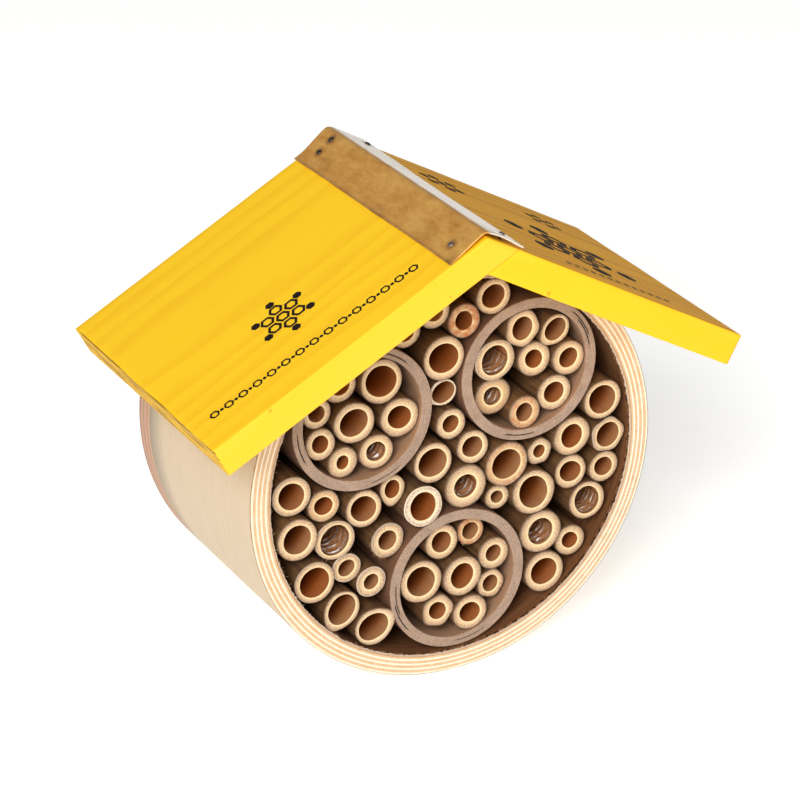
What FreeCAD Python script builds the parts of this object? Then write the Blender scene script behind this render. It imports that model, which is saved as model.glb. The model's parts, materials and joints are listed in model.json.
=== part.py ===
"""Round insect hotel: a bent plywood drum under a gabled roof, filled with bamboo canes and three card tubes.

Millimetres. The origin is the drum's axis at its back face, which hangs on a wall. +Z is up, the front with the
open canes faces -Y, and +X is to the right as seen from the front.
"""
import FreeCAD, Part
import os
from dataclasses import dataclass
from math import cos, hypot, radians, sin, sqrt, tan

from FreeCAD import Vector

# Driving dimensions of the roof
ROOF_PITCH = 28.8          # slope of each board from level, degrees
BOARD_LENGTH = 120.0       # from the ridge down to the eave, along the top face
BOARD_THICKNESS = 12.0
ROOF_DEPTH = 118.0         # from the wall to the front edge
RIDGE_RADIUS = 1.5         # rounding of the ridge under the cap

# Driving dimensions of the drum
DRUM_RADIUS = 81.0         # outside
DRUM_WALL = 8.0
DRUM_DEPTH = 95.0          # with the back panel
BACK_PANEL = 9.0           # thickness of the disc
FLAT_COVER = 0.8           # plywood left where the shell is planed flat for the roof

# Ridge cap and its pins
CAP_LEG = 16.5
CAP_SHEET = 0.6
PIN_HEAD_RADIUS = 1.1
PIN_HEAD_HEIGHT = 0.6
PIN_SHANK_RADIUS = 0.5
PIN_LENGTH = 9.0
PIN_DOWN = 10.5            # from the ridge down the leg
PIN_HIGH_DOWN = 4.8        # the extra pin at the back of the left leg
PIN_INSET = 8.5            # from each end of the cap

# Brads that hold the boards together at the ridge
BRAD_RADIUS = 0.7
BRAD_LENGTH = 30.0
BRAD_SUNK = 1.0
BRAD_COUNT = 4

# Nails through the back panel into the shell
NAIL_RADIUS = 0.7
NAIL_HEAD_RADIUS = 1.6
NAIL_HEAD_HEIGHT = 0.8
NAIL_LENGTH = 24.0
NAIL_COUNT = 7
NAIL_FIRST_ANGLE = 165.0   # degrees from +X, clear of the planed flats
NAIL_LAST_ANGLE = 375.0

# Keyhole hanger
HANGER_WIDTH = 50.0
HANGER_HEIGHT = 24.0
HANGER_THICKNESS = 1.5
HANGER_CORNER = 4.0
HANGER_Z = 46.0            # height of its middle over the drum's axis
HANGER_SUNK = 0.3          # its outer face lies this far inside the back face
HANGER_GAP = 0.3           # round the plate, in its pocket
KEYHOLE_RADIUS = 4.5
SLOT_RADIUS = 2.2
SLOT_TRAVEL = 8.0
HEAD_ROOM = 4.5            # depth of the pocket for the wall screw's head
HANGER_SCREW_SPACING = 38.0
SCREW_HEAD_RADIUS = 2.6
SCREW_HEAD_HEIGHT = 1.2
SCREW_SHANK_RADIUS = 1.25
SCREW_LENGTH = 7.0
RECESS_WIDTH = 0.7         # arms of the cross recess
RECESS_LENGTH = 3.2
RECESS_DEPTH = 0.7

# Card tubes: each is (name, angle round the drum in degrees from +X)
CARD_RADIUS = 27.5
CARD_WALL = 4.0
CARD_RECESS = 1.5          # front end behind the drum's front edge
CARD_PLACES = (("left", 143.0), ("right", 46.0), ("bottom", 273.0))

# Clearances
SLIDE_GAP = 0.5            # round a card tube, which pulls out, and behind it
CANE_GAP = 0.15            # between canes, which stay in place
TRIM_GAP = 0.02            # a brad or nail ends this much before its hole does


@dataclass(frozen=True)
class Tube:
    """A cane or a card tube, standing along Y, at (x, z) from the middle of the bore that it is packed in."""

    x: float
    z: float
    outer: float           # diameters
    bore: float
    recess: float          # front end behind the drum's front edge


# The fill was laid out by hand at these radii, and follows the tubes when they are another size.
LAYOUT_DRUM_BORE = 73.0
LAYOUT_CARD_RADIUS = 27.5
LAYOUT_CARD_BORE = 23.5

DRUM_CANES = (
    # along the wall, from the left side round the bottom to the right side
    Tube(-64, 3, 15.0, 10.0, 2.0),
    Tube(-62, -14, 16.5, 11.0, 1.0),
    Tube(-55, -33, 16.0, 11.5, 2.0),
    Tube(-44, -47, 15.5, 11.0, 2.5),
    Tube(-31, -57, 16.0, 11.0, 2.0),
    Tube(39, -51, 16.5, 10.5, 2.0),
    Tube(50, -41, 12.5, 6.5, 3.0),
    Tube(57, -26, 15.0, 10.5, 2.5),
    Tube(64, -14, 12.5, 7.5, 3.0),
    Tube(65, -1, 13.5, 9.5, 2.0),
    Tube(62, 14, 15.5, 11.0, 1.5),
    # second row on the left and the right
    Tube(-51, -4, 12.5, 7.0, 3.0),
    Tube(-47, -18, 15.5, 11.5, 2.5),
    Tube(-41, -32, 11.5, 6.5, 4.0),
    Tube(-33, -38, 12.0, 6.0, 3.0),
    Tube(-35, -7, 14.5, 10.0, 2.0),
    Tube(-25, -24, 13.5, 7.5, 3.5),
    Tube(37, -34, 17.0, 10.0, 2.0),
    Tube(50, -13, 13.5, 8.5, 3.0),
    Tube(48, 4, 15.5, 9.0, 2.0),
    Tube(33, -17, 17.5, 12.0, 1.5),
    # the middle, between the three card tubes
    Tube(-22, -3, 11.5, 6.5, 4.0),
    Tube(-14, -13, 15.5, 10.5, 1.0),
    Tube(-8, 4, 15.5, 11.0, 1.5),
    Tube(10, 7, 13.0, 8.0, 2.5),
    Tube(6, -9, 17.0, 9.0, 2.0),
    Tube(18, -16, 10.0, 5.0, 4.0),
    Tube(23, -2, 17.5, 11.5, 1.5),
    Tube(37, -2, 10.5, 5.0, 3.5),
    Tube(0, 17, 12.0, 6.5, 3.0),
    Tube(-3, 30, 11.0, 8.5, 4.0),
    # under the ridge
    Tube(-3, 45, 17.0, 11.5, 2.0),
    Tube(-18, 54, 12.0, 7.0, 3.5),
    Tube(-6, 60, 12.5, 7.0, 2.5),
    Tube(7, 58, 13.0, 7.0, 2.0),
    Tube(19, 66, 14.0, 9.0, 1.5),
    Tube(-29, 61, 10.5, 6.0, 3.0),
    Tube(-19, 66, 8.0, 4.5, 4.0),
)

CARD_CANES = {
    "left": (
        Tube(-4, -2, 16.0, 10.5, 2.5),
        Tube(16, -4, 15.5, 9.0, 3.0),
        Tube(-17, -8, 12.0, 6.5, 3.5),
        Tube(-8, -16, 12.0, 5.0, 3.0),
        Tube(5, -13, 13.5, 7.5, 2.0),
        Tube(-17, 4, 11.5, 6.5, 4.0),
        Tube(8, 13, 17.0, 12.0, 2.5),
        Tube(-8, 14, 13.5, 8.0, 4.0),
    ),
    "right": (
        Tube(-4, 16, 14.0, 8.5, 2.5),
        Tube(13, 12, 12.5, 8.5, 3.0),
        Tube(-14, 6, 16.0, 11.0, 2.0),
        Tube(3, 3, 13.5, 7.0, 3.5),
        Tube(17, 1, 13.5, 7.5, 2.5),
        Tube(-14, -10, 14.5, 7.0, 5.0),
        Tube(11, -13, 14.0, 8.0, 3.0),
        Tube(-1, -18, 13.0, 7.0, 2.0),
    ),
    "bottom": (
        Tube(-6, 16, 13.5, 8.0, 3.0),
        Tube(7, 17, 11.0, 6.5, 4.5),
        Tube(17, 6, 13.0, 6.5, 3.0),
        Tube(-15, 2, 17.0, 11.5, 2.0),
        Tube(3, 0, 16.0, 9.5, 2.0),
        Tube(14, -6, 11.5, 6.5, 3.5),
        Tube(-7, -12, 13.0, 7.0, 2.5),
        Tube(6, -17, 14.0, 8.0, 2.0),
    ),
}

# Worked out from the driving dimensions
PITCH = radians(ROOF_PITCH)
DRUM_BORE = DRUM_RADIUS - DRUM_WALL
CARD_BORE = CARD_RADIUS - CARD_WALL
UNDERSIDE = DRUM_BORE + FLAT_COVER
RIDGE_Z = (UNDERSIDE + BOARD_THICKNESS) / cos(PITCH)
FORWARDS = Vector(0, -1, 0)
FAR = 4 * (BOARD_LENGTH + DRUM_RADIUS)


def down_slope(side, along, lift=0.0, y=0.0):
    """Point that lies along the top face of a board from the ridge, lifted square to it; side is -1 or 1."""
    x = side * (along * cos(PITCH) + lift * sin(PITCH))
    return Vector(x, y, RIDGE_Z - along * sin(PITCH) + lift * cos(PITCH))


def square_to_slope(side):
    """Unit vector out of the top face of a board."""
    return Vector(side * sin(PITCH), 0, cos(PITCH))


def along_y(edges, front, back=0.0):
    """Solid with this closed outline of edges, drawn at y = 0, between two depths in front of the wall."""
    face = Part.Face(Part.Wire(edges))
    face.translate(Vector(0, -back, 0))
    return face.extrude(FORWARDS * (front - back))


def outline(points):
    """Straight edges that join the points and close on the first."""
    ends = list(points[1:]) + [points[0]]
    return [Part.LineSegment(start, end).toShape() for start, end in zip(points, ends)]


def rod(radius, front, back, x=0.0, z=0.0):
    """Cylinder along Y between two depths in front of the wall."""
    return Part.makeCylinder(radius, front - back, Vector(x, -back, z), FORWARDS)


def hollow_rod(outer, bore, front, back, x=0.0, z=0.0):
    """Tube along Y between two depths in front of the wall; outer and bore are radii."""
    return rod(outer, front, back, x, z).cut(rod(bore, front, back, x, z))


def under_roof(shape):
    """The part of a shape that lies below the undersides of both boards."""
    apex = down_slope(1, BOARD_THICKNESS * tan(PITCH), -BOARD_THICKNESS)
    left = down_slope(-1, FAR, -BOARD_THICKNESS)
    right = down_slope(1, FAR, -BOARD_THICKNESS)
    above = along_y(outline([apex, left, Vector(0, 0, FAR), right]), ROOF_DEPTH + 1, -1)
    return shape.cut(above)


# Packing tubes in a bore
def overlap_push(tube, x, z, reach):
    """How far (dx, dz) a tube moves straight away from (x, z) to be at least reach from it."""
    distance = hypot(tube.x - x, tube.z - z) or 1e-6
    push = max(0.0, reach - distance)
    return push * (tube.x - x) / distance, push * (tube.z - z) / distance


def moved(tube, dx, dz):
    """The tube at a new place."""
    return Tube(tube.x + dx, tube.z + dz, tube.outer, tube.bore, tube.recess)


def settle_once(tubes, bore, posts, gap):
    """One round of pushing: tubes off each other, off the posts, and in from the wall. Gives the worst overlap."""
    worst = 0.0
    for i, tube in enumerate(tubes):
        radius = tube.outer / 2
        for j in range(i + 1, len(tubes)):
            reach = radius + tubes[j].outer / 2 + gap
            dx, dz = overlap_push(tubes[i], tubes[j].x, tubes[j].z, reach)
            worst = max(worst, hypot(dx, dz))
            tubes[i] = moved(tubes[i], dx / 2, dz / 2)
            tubes[j] = moved(tubes[j], -dx / 2, -dz / 2)
        for post in posts:
            dx, dz = overlap_push(tubes[i], post.x, post.z, radius + post.outer / 2 + SLIDE_GAP)
            worst = max(worst, hypot(dx, dz))
            tubes[i] = moved(tubes[i], dx, dz)
        out = hypot(tubes[i].x, tubes[i].z)
        room = bore - radius - gap
        if out > room:
            worst = max(worst, out - room)
            tubes[i] = moved(tubes[i], tubes[i].x * (room / out - 1), tubes[i].z * (room / out - 1))
    return worst


def settle(layout, spread, grade, bore, posts=(), gap=CANE_GAP):
    """Packs a layout of tubes in a round bore, a gap apart and clear of the posts that stand in it.

    Their places are spread and their diameters graded by the two factors. Where they don't fit, they are
    graded a little thinner until they do.
    """
    rounds = 300
    thinner = 0.98
    close_enough = gap / 5
    while True:
        tubes = [
            Tube(t.x * spread, t.z * spread, t.outer * grade, t.bore * grade, t.recess) for t in layout
        ]
        for _ in range(rounds):
            if settle_once(tubes, bore, posts, gap) < close_enough:
                return tubes
        grade *= thinner


def tube_solid(tube, back):
    """A tube as a solid, from a depth in front of the wall to its front end."""
    front = DRUM_DEPTH - tube.recess
    return hollow_rod(tube.outer / 2, tube.bore / 2, front, back, tube.x, tube.z)


def drum_fill():
    """The canes that stand in the drum, round the card tubes."""
    posts = card_places().values()
    room = sqrt(DRUM_BORE ** 2 - len(posts) * CARD_RADIUS ** 2)
    layout_room = sqrt(LAYOUT_DRUM_BORE ** 2 - len(posts) * LAYOUT_CARD_RADIUS ** 2)
    spread = DRUM_BORE / LAYOUT_DRUM_BORE
    canes = settle(DRUM_CANES, spread, room / layout_room, DRUM_BORE, posts)
    return {f"cane_{number:02d}": tube_solid(cane, BACK_PANEL) for number, cane in enumerate(canes, 1)}


# Card tubes
def card_places():
    """Where each card tube stands, by name: against the wall at its own angle, and clear of the other two."""
    orbit = DRUM_BORE - CARD_RADIUS - SLIDE_GAP
    layout = []
    for _, angle in CARD_PLACES:
        x, z = orbit * cos(radians(angle)), orbit * sin(radians(angle))
        layout.append(Tube(x, z, 2 * CARD_RADIUS, 2 * CARD_BORE, CARD_RECESS))
    settled = settle(layout, 1.0, 1.0, DRUM_BORE, gap=SLIDE_GAP)
    return {name: tube for (name, _), tube in zip(CARD_PLACES, settled)}


def card_tubes():
    """Each card tube, and its own canes as one group of solids. They stand clear of the back panel."""
    back = BACK_PANEL + SLIDE_GAP
    grade = CARD_BORE / LAYOUT_CARD_BORE
    made = {}
    for name, card in card_places().items():
        made[f"card_tube_{name}"] = tube_solid(card, back)
        canes = settle(CARD_CANES[name], grade, grade, CARD_BORE)
        solids = [tube_solid(moved(cane, card.x, card.z), back) for cane in canes]
        made[f"card_canes_{name}"] = Part.makeCompound(solids)
    return made


def pins():
    """Pins of the ridge cap: two in each leg, and one more at the back of the left leg."""
    front, back = ROOF_DEPTH - PIN_INSET, PIN_INSET
    places = [(side, PIN_DOWN, depth) for side in (-1, 1) for depth in (front, back)]
    places.append((-1, PIN_HIGH_DOWN, back))
    solids = []
    for side, down, depth in places:
        out = square_to_slope(side)
        seat = down_slope(side, down, CAP_SHEET, -depth)
        head = Part.makeCylinder(PIN_HEAD_RADIUS, PIN_HEAD_HEIGHT, seat, out)
        rim = [e for e in head.Edges if e.Closed and (e.CenterOfMass - seat).Length > PIN_HEAD_HEIGHT / 2]
        head = head.makeFillet(PIN_HEAD_HEIGHT * 0.6, rim)
        solids.append(head.fuse(Part.makeCylinder(PIN_SHANK_RADIUS, PIN_LENGTH, seat, -out)).removeSplitter())
    return Part.makeCompound(solids)


def brads(room=0.0):
    """Brads driven through the left board, in line with the right board, into the middle of its end."""
    along = Vector(cos(PITCH), 0, -sin(PITCH))
    # where the right board's middle plane comes out of the left board's top face
    down = BOARD_THICKNESS / 2 / sin(2 * PITCH)
    solids = []
    for number in range(BRAD_COUNT):
        depth = ROOF_DEPTH * (number + 0.5) / BRAD_COUNT
        start = down_slope(-1, down, 0, -depth) + along * (BRAD_SUNK - room)
        solids.append(Part.makeCylinder(BRAD_RADIUS, BRAD_LENGTH + 2 * room, start, along))
    return Part.makeCompound(solids)


def nails(room=0.0):
    """Nails in a ring through the back panel, into the middle of the shell's wall; heads flush with the back."""
    ring = DRUM_RADIUS - DRUM_WALL / 2
    step = (NAIL_LAST_ANGLE - NAIL_FIRST_ANGLE) / (NAIL_COUNT - 1)
    solids = []
    for number in range(NAIL_COUNT):
        angle = radians(NAIL_FIRST_ANGLE + number * step)
        x, z = ring * cos(angle), ring * sin(angle)
        head = rod(NAIL_HEAD_RADIUS, NAIL_HEAD_HEIGHT, 0, x, z)
        solids.append(head.fuse(rod(NAIL_RADIUS, NAIL_LENGTH + room, 0, x, z)).removeSplitter())
    return Part.makeCompound(solids)


# Roof
def boards():
    """The two roof boards: the left one runs through to the ridge, and the right one butts against it."""
    turn = RIDGE_RADIUS * tan(PITCH)
    crown = Vector(0, 0, RIDGE_Z - RIDGE_RADIUS / cos(PITCH) + RIDGE_RADIUS)
    lap = BOARD_THICKNESS / sin(2 * PITCH)
    inner_apex = down_slope(1, BOARD_THICKNESS * tan(PITCH), -BOARD_THICKNESS)
    left_top, right_top = down_slope(-1, turn), down_slope(1, turn)
    joint_top = down_slope(1, lap)
    left_eave, left_foot = down_slope(-1, BOARD_LENGTH), down_slope(-1, BOARD_LENGTH, -BOARD_THICKNESS)
    right_eave, right_foot = down_slope(1, BOARD_LENGTH), down_slope(1, BOARD_LENGTH, -BOARD_THICKNESS)
    left_edges = [Part.Arc(left_top, crown, right_top).toShape()]
    corners = [right_top, joint_top, left_foot, left_eave, left_top]
    left_edges += [Part.LineSegment(a, b).toShape() for a, b in zip(corners, corners[1:])]
    left = along_y(left_edges, ROOF_DEPTH)
    right = along_y(outline([joint_top, right_eave, right_foot, inner_apex]), ROOF_DEPTH)
    holes = brads(TRIM_GAP)
    return left.cut(holes).cut(pins()), right.cut(holes).cut(pins())


def ridge_cap():
    """Sheet folded over the ridge, tight on both boards, with a hole for each pin."""
    turn = RIDGE_RADIUS * tan(PITCH)
    middle = RIDGE_Z - RIDGE_RADIUS / cos(PITCH)
    inner = [down_slope(-1, turn), Vector(0, 0, middle + RIDGE_RADIUS), down_slope(1, turn)]
    outer = [
        down_slope(-1, turn, CAP_SHEET),
        Vector(0, 0, middle + RIDGE_RADIUS + CAP_SHEET),
        down_slope(1, turn, CAP_SHEET),
    ]
    ends = {side: (down_slope(side, CAP_LEG), down_slope(side, CAP_LEG, CAP_SHEET)) for side in (-1, 1)}
    edges = [
        Part.Arc(*inner).toShape(),
        Part.LineSegment(inner[2], ends[1][0]).toShape(),
        Part.LineSegment(*ends[1]).toShape(),
        Part.LineSegment(ends[1][1], outer[2]).toShape(),
        Part.Arc(*reversed(outer)).toShape(),
        Part.LineSegment(outer[0], ends[-1][1]).toShape(),
        Part.LineSegment(ends[-1][1], ends[-1][0]).toShape(),
        Part.LineSegment(ends[-1][0], inner[0]).toShape(),
    ]
    return along_y(edges, ROOF_DEPTH).cut(pins())


# Drum
def drum_shell():
    """Bent plywood tube, planed flat under both roof boards."""
    shell = hollow_rod(DRUM_RADIUS, DRUM_BORE, DRUM_DEPTH, BACK_PANEL)
    return under_roof(shell).cut(nails(TRIM_GAP))


def rounded_slab(width, height, corner, front, back, z):
    """Upright slab with rounded corners, on the drum's middle plane, between two depths."""
    slab = Part.makeBox(width, front - back, height, Vector(-width / 2, -front, z - height / 2))
    edges = [e for e in slab.Edges if abs(e.tangentAt(e.FirstParameter).y) > 0.9]
    return slab.makeFillet(corner, edges)


def keyhole(radius, slot_radius, front, back):
    """Round entry with a slot that runs up from it, as a solid between two depths."""
    entry_z = HANGER_Z - SLOT_TRAVEL / 2
    top_z = HANGER_Z + SLOT_TRAVEL / 2
    slot = Part.makeBox(2 * slot_radius, front - back, SLOT_TRAVEL, Vector(-slot_radius, -front, entry_z))
    slot = slot.fuse(rod(slot_radius, front, back, 0, top_z))
    return slot.fuse(rod(radius, front, back, 0, entry_z)).removeSplitter()


def back_panel():
    """Plywood disc that closes the drum, with a pocket for the hanger and room for the wall screw's head."""
    plate_back = HANGER_SUNK + HANGER_THICKNESS
    gap = 2 * HANGER_GAP
    pocket = rounded_slab(
        HANGER_WIDTH + gap, HANGER_HEIGHT + gap, HANGER_CORNER + HANGER_GAP, plate_back, -1, HANGER_Z
    )
    head_room = keyhole(KEYHOLE_RADIUS + 1, KEYHOLE_RADIUS + 1, plate_back + HEAD_ROOM, 0)
    disc = under_roof(rod(DRUM_RADIUS, BACK_PANEL, 0))
    return disc.cut(nails(TRIM_GAP)).cut(pocket).cut(head_room).cut(hanger_screws(TRIM_GAP))


def hanger_screws(room=0.0):
    """Two countersunk screws with a cross recess, flush with the hanger's outer face."""
    solids = []
    for side in (-1, 1):
        x = side * HANGER_SCREW_SPACING / 2
        seat = Vector(x, -HANGER_SUNK, HANGER_Z)
        head = Part.makeCone(
            SCREW_HEAD_RADIUS, SCREW_SHANK_RADIUS, SCREW_HEAD_HEIGHT, seat, FORWARDS
        )
        shank = rod(SCREW_SHANK_RADIUS, HANGER_SUNK + SCREW_LENGTH + room, HANGER_SUNK, x, HANGER_Z)
        screw = head.fuse(shank).removeSplitter()
        if not room:
            for width, height in ((RECESS_WIDTH, RECESS_LENGTH), (RECESS_LENGTH, RECESS_WIDTH)):
                corner = seat + Vector(-width / 2, -RECESS_DEPTH, -height / 2)
                screw = screw.cut(Part.makeBox(width, RECESS_DEPTH, height, corner))
        solids.append(screw)
    return Part.makeCompound(solids)


def hanger_plate():
    """Steel keyhole plate, let into the back panel."""
    front = HANGER_SUNK + HANGER_THICKNESS
    plate = rounded_slab(HANGER_WIDTH, HANGER_HEIGHT, HANGER_CORNER, front, HANGER_SUNK, HANGER_Z)
    plate = plate.cut(keyhole(KEYHOLE_RADIUS, SLOT_RADIUS, front + 1, 0))
    return plate.cut(hanger_screws(TRIM_GAP))


def insect_hotel():
    """Every piece by its node's name."""
    left, right = boards()
    made = {
        "roof_board_left": left,
        "roof_board_right": right,
        "ridge_cap": ridge_cap(),
        "ridge_pins": pins(),
        "ridge_brads": brads(),
        "drum_shell": drum_shell(),
        "back_panel": back_panel(),
        "back_nails": nails(),
        "hanger_plate": hanger_plate(),
        "hanger_screws": hanger_screws(),
    }
    made.update(card_tubes())
    made.update(drum_fill())
    return made


os.makedirs("parts", exist_ok=True)
for node, shape in insect_hotel().items():
    shape.exportStep(f"parts/{node}.step")
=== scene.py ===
"""Looks of the round insect hotel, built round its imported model.

Metres, in the model's own frame: the origin is the drum's axis at its back face, +Z is up and the open
front faces -Y. The house is a bent plywood drum under a gabled roof of two boards. It holds loose canes and
three card tubes, each of which pulls out with the canes in it.
"""
from __future__ import annotations

import json
import logging
import math
import random
from dataclasses import dataclass, field, replace
from enum import Enum
from typing import Any, Callable, Iterable, Sequence

import bmesh
import bpy
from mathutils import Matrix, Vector, noise

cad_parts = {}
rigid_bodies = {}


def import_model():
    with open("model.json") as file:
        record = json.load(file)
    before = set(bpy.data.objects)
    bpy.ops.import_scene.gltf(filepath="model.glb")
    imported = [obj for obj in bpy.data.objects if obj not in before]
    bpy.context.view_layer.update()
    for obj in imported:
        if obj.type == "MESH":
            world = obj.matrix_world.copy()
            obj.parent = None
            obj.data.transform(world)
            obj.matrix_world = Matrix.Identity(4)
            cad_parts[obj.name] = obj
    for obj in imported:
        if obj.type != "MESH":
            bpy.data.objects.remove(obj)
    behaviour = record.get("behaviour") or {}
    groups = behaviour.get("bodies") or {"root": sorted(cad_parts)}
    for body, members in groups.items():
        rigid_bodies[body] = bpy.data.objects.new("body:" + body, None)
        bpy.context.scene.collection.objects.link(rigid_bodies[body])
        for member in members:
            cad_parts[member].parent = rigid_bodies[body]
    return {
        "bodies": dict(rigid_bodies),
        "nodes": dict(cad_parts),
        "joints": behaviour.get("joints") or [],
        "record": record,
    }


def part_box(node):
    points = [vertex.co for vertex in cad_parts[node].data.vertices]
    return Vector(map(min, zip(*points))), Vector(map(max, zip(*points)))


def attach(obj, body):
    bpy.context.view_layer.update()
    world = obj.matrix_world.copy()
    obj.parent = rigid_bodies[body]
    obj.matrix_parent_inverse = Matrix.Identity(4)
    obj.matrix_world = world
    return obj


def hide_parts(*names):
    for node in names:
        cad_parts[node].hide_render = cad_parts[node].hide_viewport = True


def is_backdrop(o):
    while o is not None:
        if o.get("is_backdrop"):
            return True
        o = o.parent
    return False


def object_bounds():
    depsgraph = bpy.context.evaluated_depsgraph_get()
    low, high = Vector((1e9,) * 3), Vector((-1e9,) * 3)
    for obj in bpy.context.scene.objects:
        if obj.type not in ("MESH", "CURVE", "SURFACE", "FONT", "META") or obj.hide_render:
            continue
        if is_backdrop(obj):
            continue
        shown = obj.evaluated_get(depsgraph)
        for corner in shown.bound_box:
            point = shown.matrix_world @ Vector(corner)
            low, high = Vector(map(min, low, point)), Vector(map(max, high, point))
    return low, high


MM = 0.001
TAU = math.tau
HOUSE = "house"
NOISE_SEED = 7
LOG = logging.getLogger("insect_hotel")

Colour = tuple[float, float, float, float]
# Places of the print: millimetres down the slope from the ridge and behind the front, and a mark's size
Spot = tuple[float, float]
Mark = tuple[float, float, float]


def colour(red: int, green: int, blue: int) -> Colour:
    """A display colour, 0 to 255 a channel, as the linear colour that a shader takes.

    Args:
        red: Red channel.
        green: Green channel.
        blue: Blue channel.

    Returns:
        Linear red, green, blue, and an alpha of 1.
    """
    def linear(channel: int) -> float:
        """One channel made linear."""
        share = channel / 255
        return share / 12.92 if share <= 0.04045 else ((share + 0.055) / 1.055) ** 2.4

    return linear(red), linear(green), linear(blue), 1.0


# ---- Node trees written as expressions ----
def operator(operation: str, reflected: bool = False) -> Callable[..., "Value"]:
    """A method of Value that adds one Math node.

    Args:
        operation: The node's operation.
        reflected: Whether the operands change places, as in 1 - value.

    Returns:
        The method.
    """
    def method(self: "Value", *others: "Value | float") -> "Value":
        """Adds the node."""
        values = (*others, self) if reflected else (self, *others)
        return self.graph.node("ShaderNodeMath", {"operation": operation}, dict(enumerate(values)))

    return method


class Value:
    """A socket of a node tree. Arithmetic on it adds Math nodes, so that a formula reads as one."""

    def __init__(self, graph: "Graph", socket: bpy.types.NodeSocket) -> None:
        """Wraps an output socket of the graph."""
        self.graph = graph
        self.socket = socket

    __add__, __radd__ = operator("ADD"), operator("ADD", reflected=True)
    __sub__, __rsub__ = operator("SUBTRACT"), operator("SUBTRACT", reflected=True)
    __mul__, __rmul__ = operator("MULTIPLY"), operator("MULTIPLY", reflected=True)
    __truediv__, __rtruediv__ = operator("DIVIDE"), operator("DIVIDE", reflected=True)
    __pow__, __abs__ = operator("POWER"), operator("ABSOLUTE")
    __gt__, __lt__ = operator("GREATER_THAN"), operator("LESS_THAN")
    cosine, sine = operator("COSINE"), operator("SINE")
    fraction, least, most = operator("FRACT"), operator("MINIMUM"), operator("MAXIMUM")

    def clamped(self) -> "Value":
        """Kept from 0 to 1."""
        return self.least(1.0).most(0.0)

    def eased(self, low: float, high: float) -> "Value":
        """Smooth step from 0 at low to 1 at high, or the other way round where high is under low.

        Args:
            low: Where the step starts.
            high: Where it ends.

        Returns:
            The step.
        """
        if high < low:
            return 1 - self.eased(high, low)
        inputs = {"Value": self, "From Min": low, "From Max": high}
        return self.graph.node("ShaderNodeMapRange", {"interpolation_type": "SMOOTHSTEP"}, inputs)


class Graph:
    """A node tree that is being written."""

    def __init__(self, tree: bpy.types.NodeTree) -> None:
        """Starts on a tree, whose own nodes are removed."""
        self.tree = tree
        tree.nodes.clear()

    def place(
        self, kind: str, settings: dict[str, Any] | None = None, inputs: dict[Any, Any] | None = None
    ) -> bpy.types.Node:
        """Adds a node, sets it up and links it.

        Args:
            kind: The node's type.
            settings: Its properties, set first.
            inputs: Values or links of its sockets, by name or number.

        Returns:
            The node.
        """
        made = self.tree.nodes.new(kind)
        for name, setting in (settings or {}).items():
            setattr(made, name, setting)
        for key, value in (inputs or {}).items():
            if isinstance(value, Value):
                self.tree.links.new(value.socket, made.inputs[key])
            else:
                made.inputs[key].default_value = value
        return made

    def node(
        self,
        kind: str,
        settings: dict[str, Any] | None = None,
        inputs: dict[Any, Any] | None = None,
        output: int | str = 0,
    ) -> Value:
        """Adds a node and gives one of its outputs.

        Args:
            kind: The node's type.
            settings: As in place().
            inputs: As in place().
            output: Name or number of the output.

        Returns:
            The output.
        """
        return Value(self, self.place(kind, settings, inputs).outputs[output])

    def split(self, vector: Value) -> tuple[Value, Value, Value]:
        """The three parts of a vector."""
        outputs = self.place("ShaderNodeSeparateXYZ", inputs={0: vector}).outputs
        return Value(self, outputs[0]), Value(self, outputs[1]), Value(self, outputs[2])

    def join(self, x: Value | float, y: Value | float, z: Value | float) -> Value:
        """A vector of three numbers."""
        return self.node("ShaderNodeCombineXYZ", inputs={0: x, 1: y, 2: z})

    def vector(self, operation: str, *values: Any, output: int | str = 0) -> Value:
        """A Vector Math node on these values, in order."""
        return self.node("ShaderNodeVectorMath", {"operation": operation}, dict(enumerate(values)), output)

    def stretched(self, vector: Value, x: float, y: float, z: float) -> Value:
        """A vector times a factor for each axis."""
        return self.vector("MULTIPLY", vector, (x, y, z))

    def noise(self, vector: Value, scale: float, detail: float = 2.0, roughness: float = 0.5) -> Value:
        """Noise from 0 to 1.

        Args:
            vector: Where it is read.
            scale: How many features there are to a unit.
            detail: Octaves over the first.
            roughness: How strong those are.

        Returns:
            The noise.
        """
        inputs = {"Vector": vector, "Scale": scale, "Detail": detail, "Roughness": roughness}
        return self.node("ShaderNodeTexNoise", inputs=inputs)

    def blend(self, factor: Value | float, first: Any, second: Any, how: str = "MIX") -> Value:
        """One colour over another.

        Args:
            factor: Share of the second.
            first: Colour or link.
            second: Colour or link.
            how: Blend type.

        Returns:
            The mixed colour.
        """
        settings = {"data_type": "RGBA", "blend_type": how}
        return self.node("ShaderNodeMix", settings, {0: factor, 6: first, 7: second}, 2)

    def attribute(self, name: str) -> Value:
        """A number stored on the mesh, in a material."""
        return self.node("ShaderNodeAttribute", {"attribute_name": name}, output="Fac")

    def bump(self, height: Value, depth: float, strength: float = 1.0) -> Value:
        """A normal from a height of 0 to 1.

        Args:
            height: The height.
            depth: How deep the full height is, in metres.
            strength: Share of it that shows.

        Returns:
            The normal.
        """
        inputs = {"Strength": strength, "Distance": depth, "Height": height}
        return self.node("ShaderNodeBump", inputs=inputs)


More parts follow.
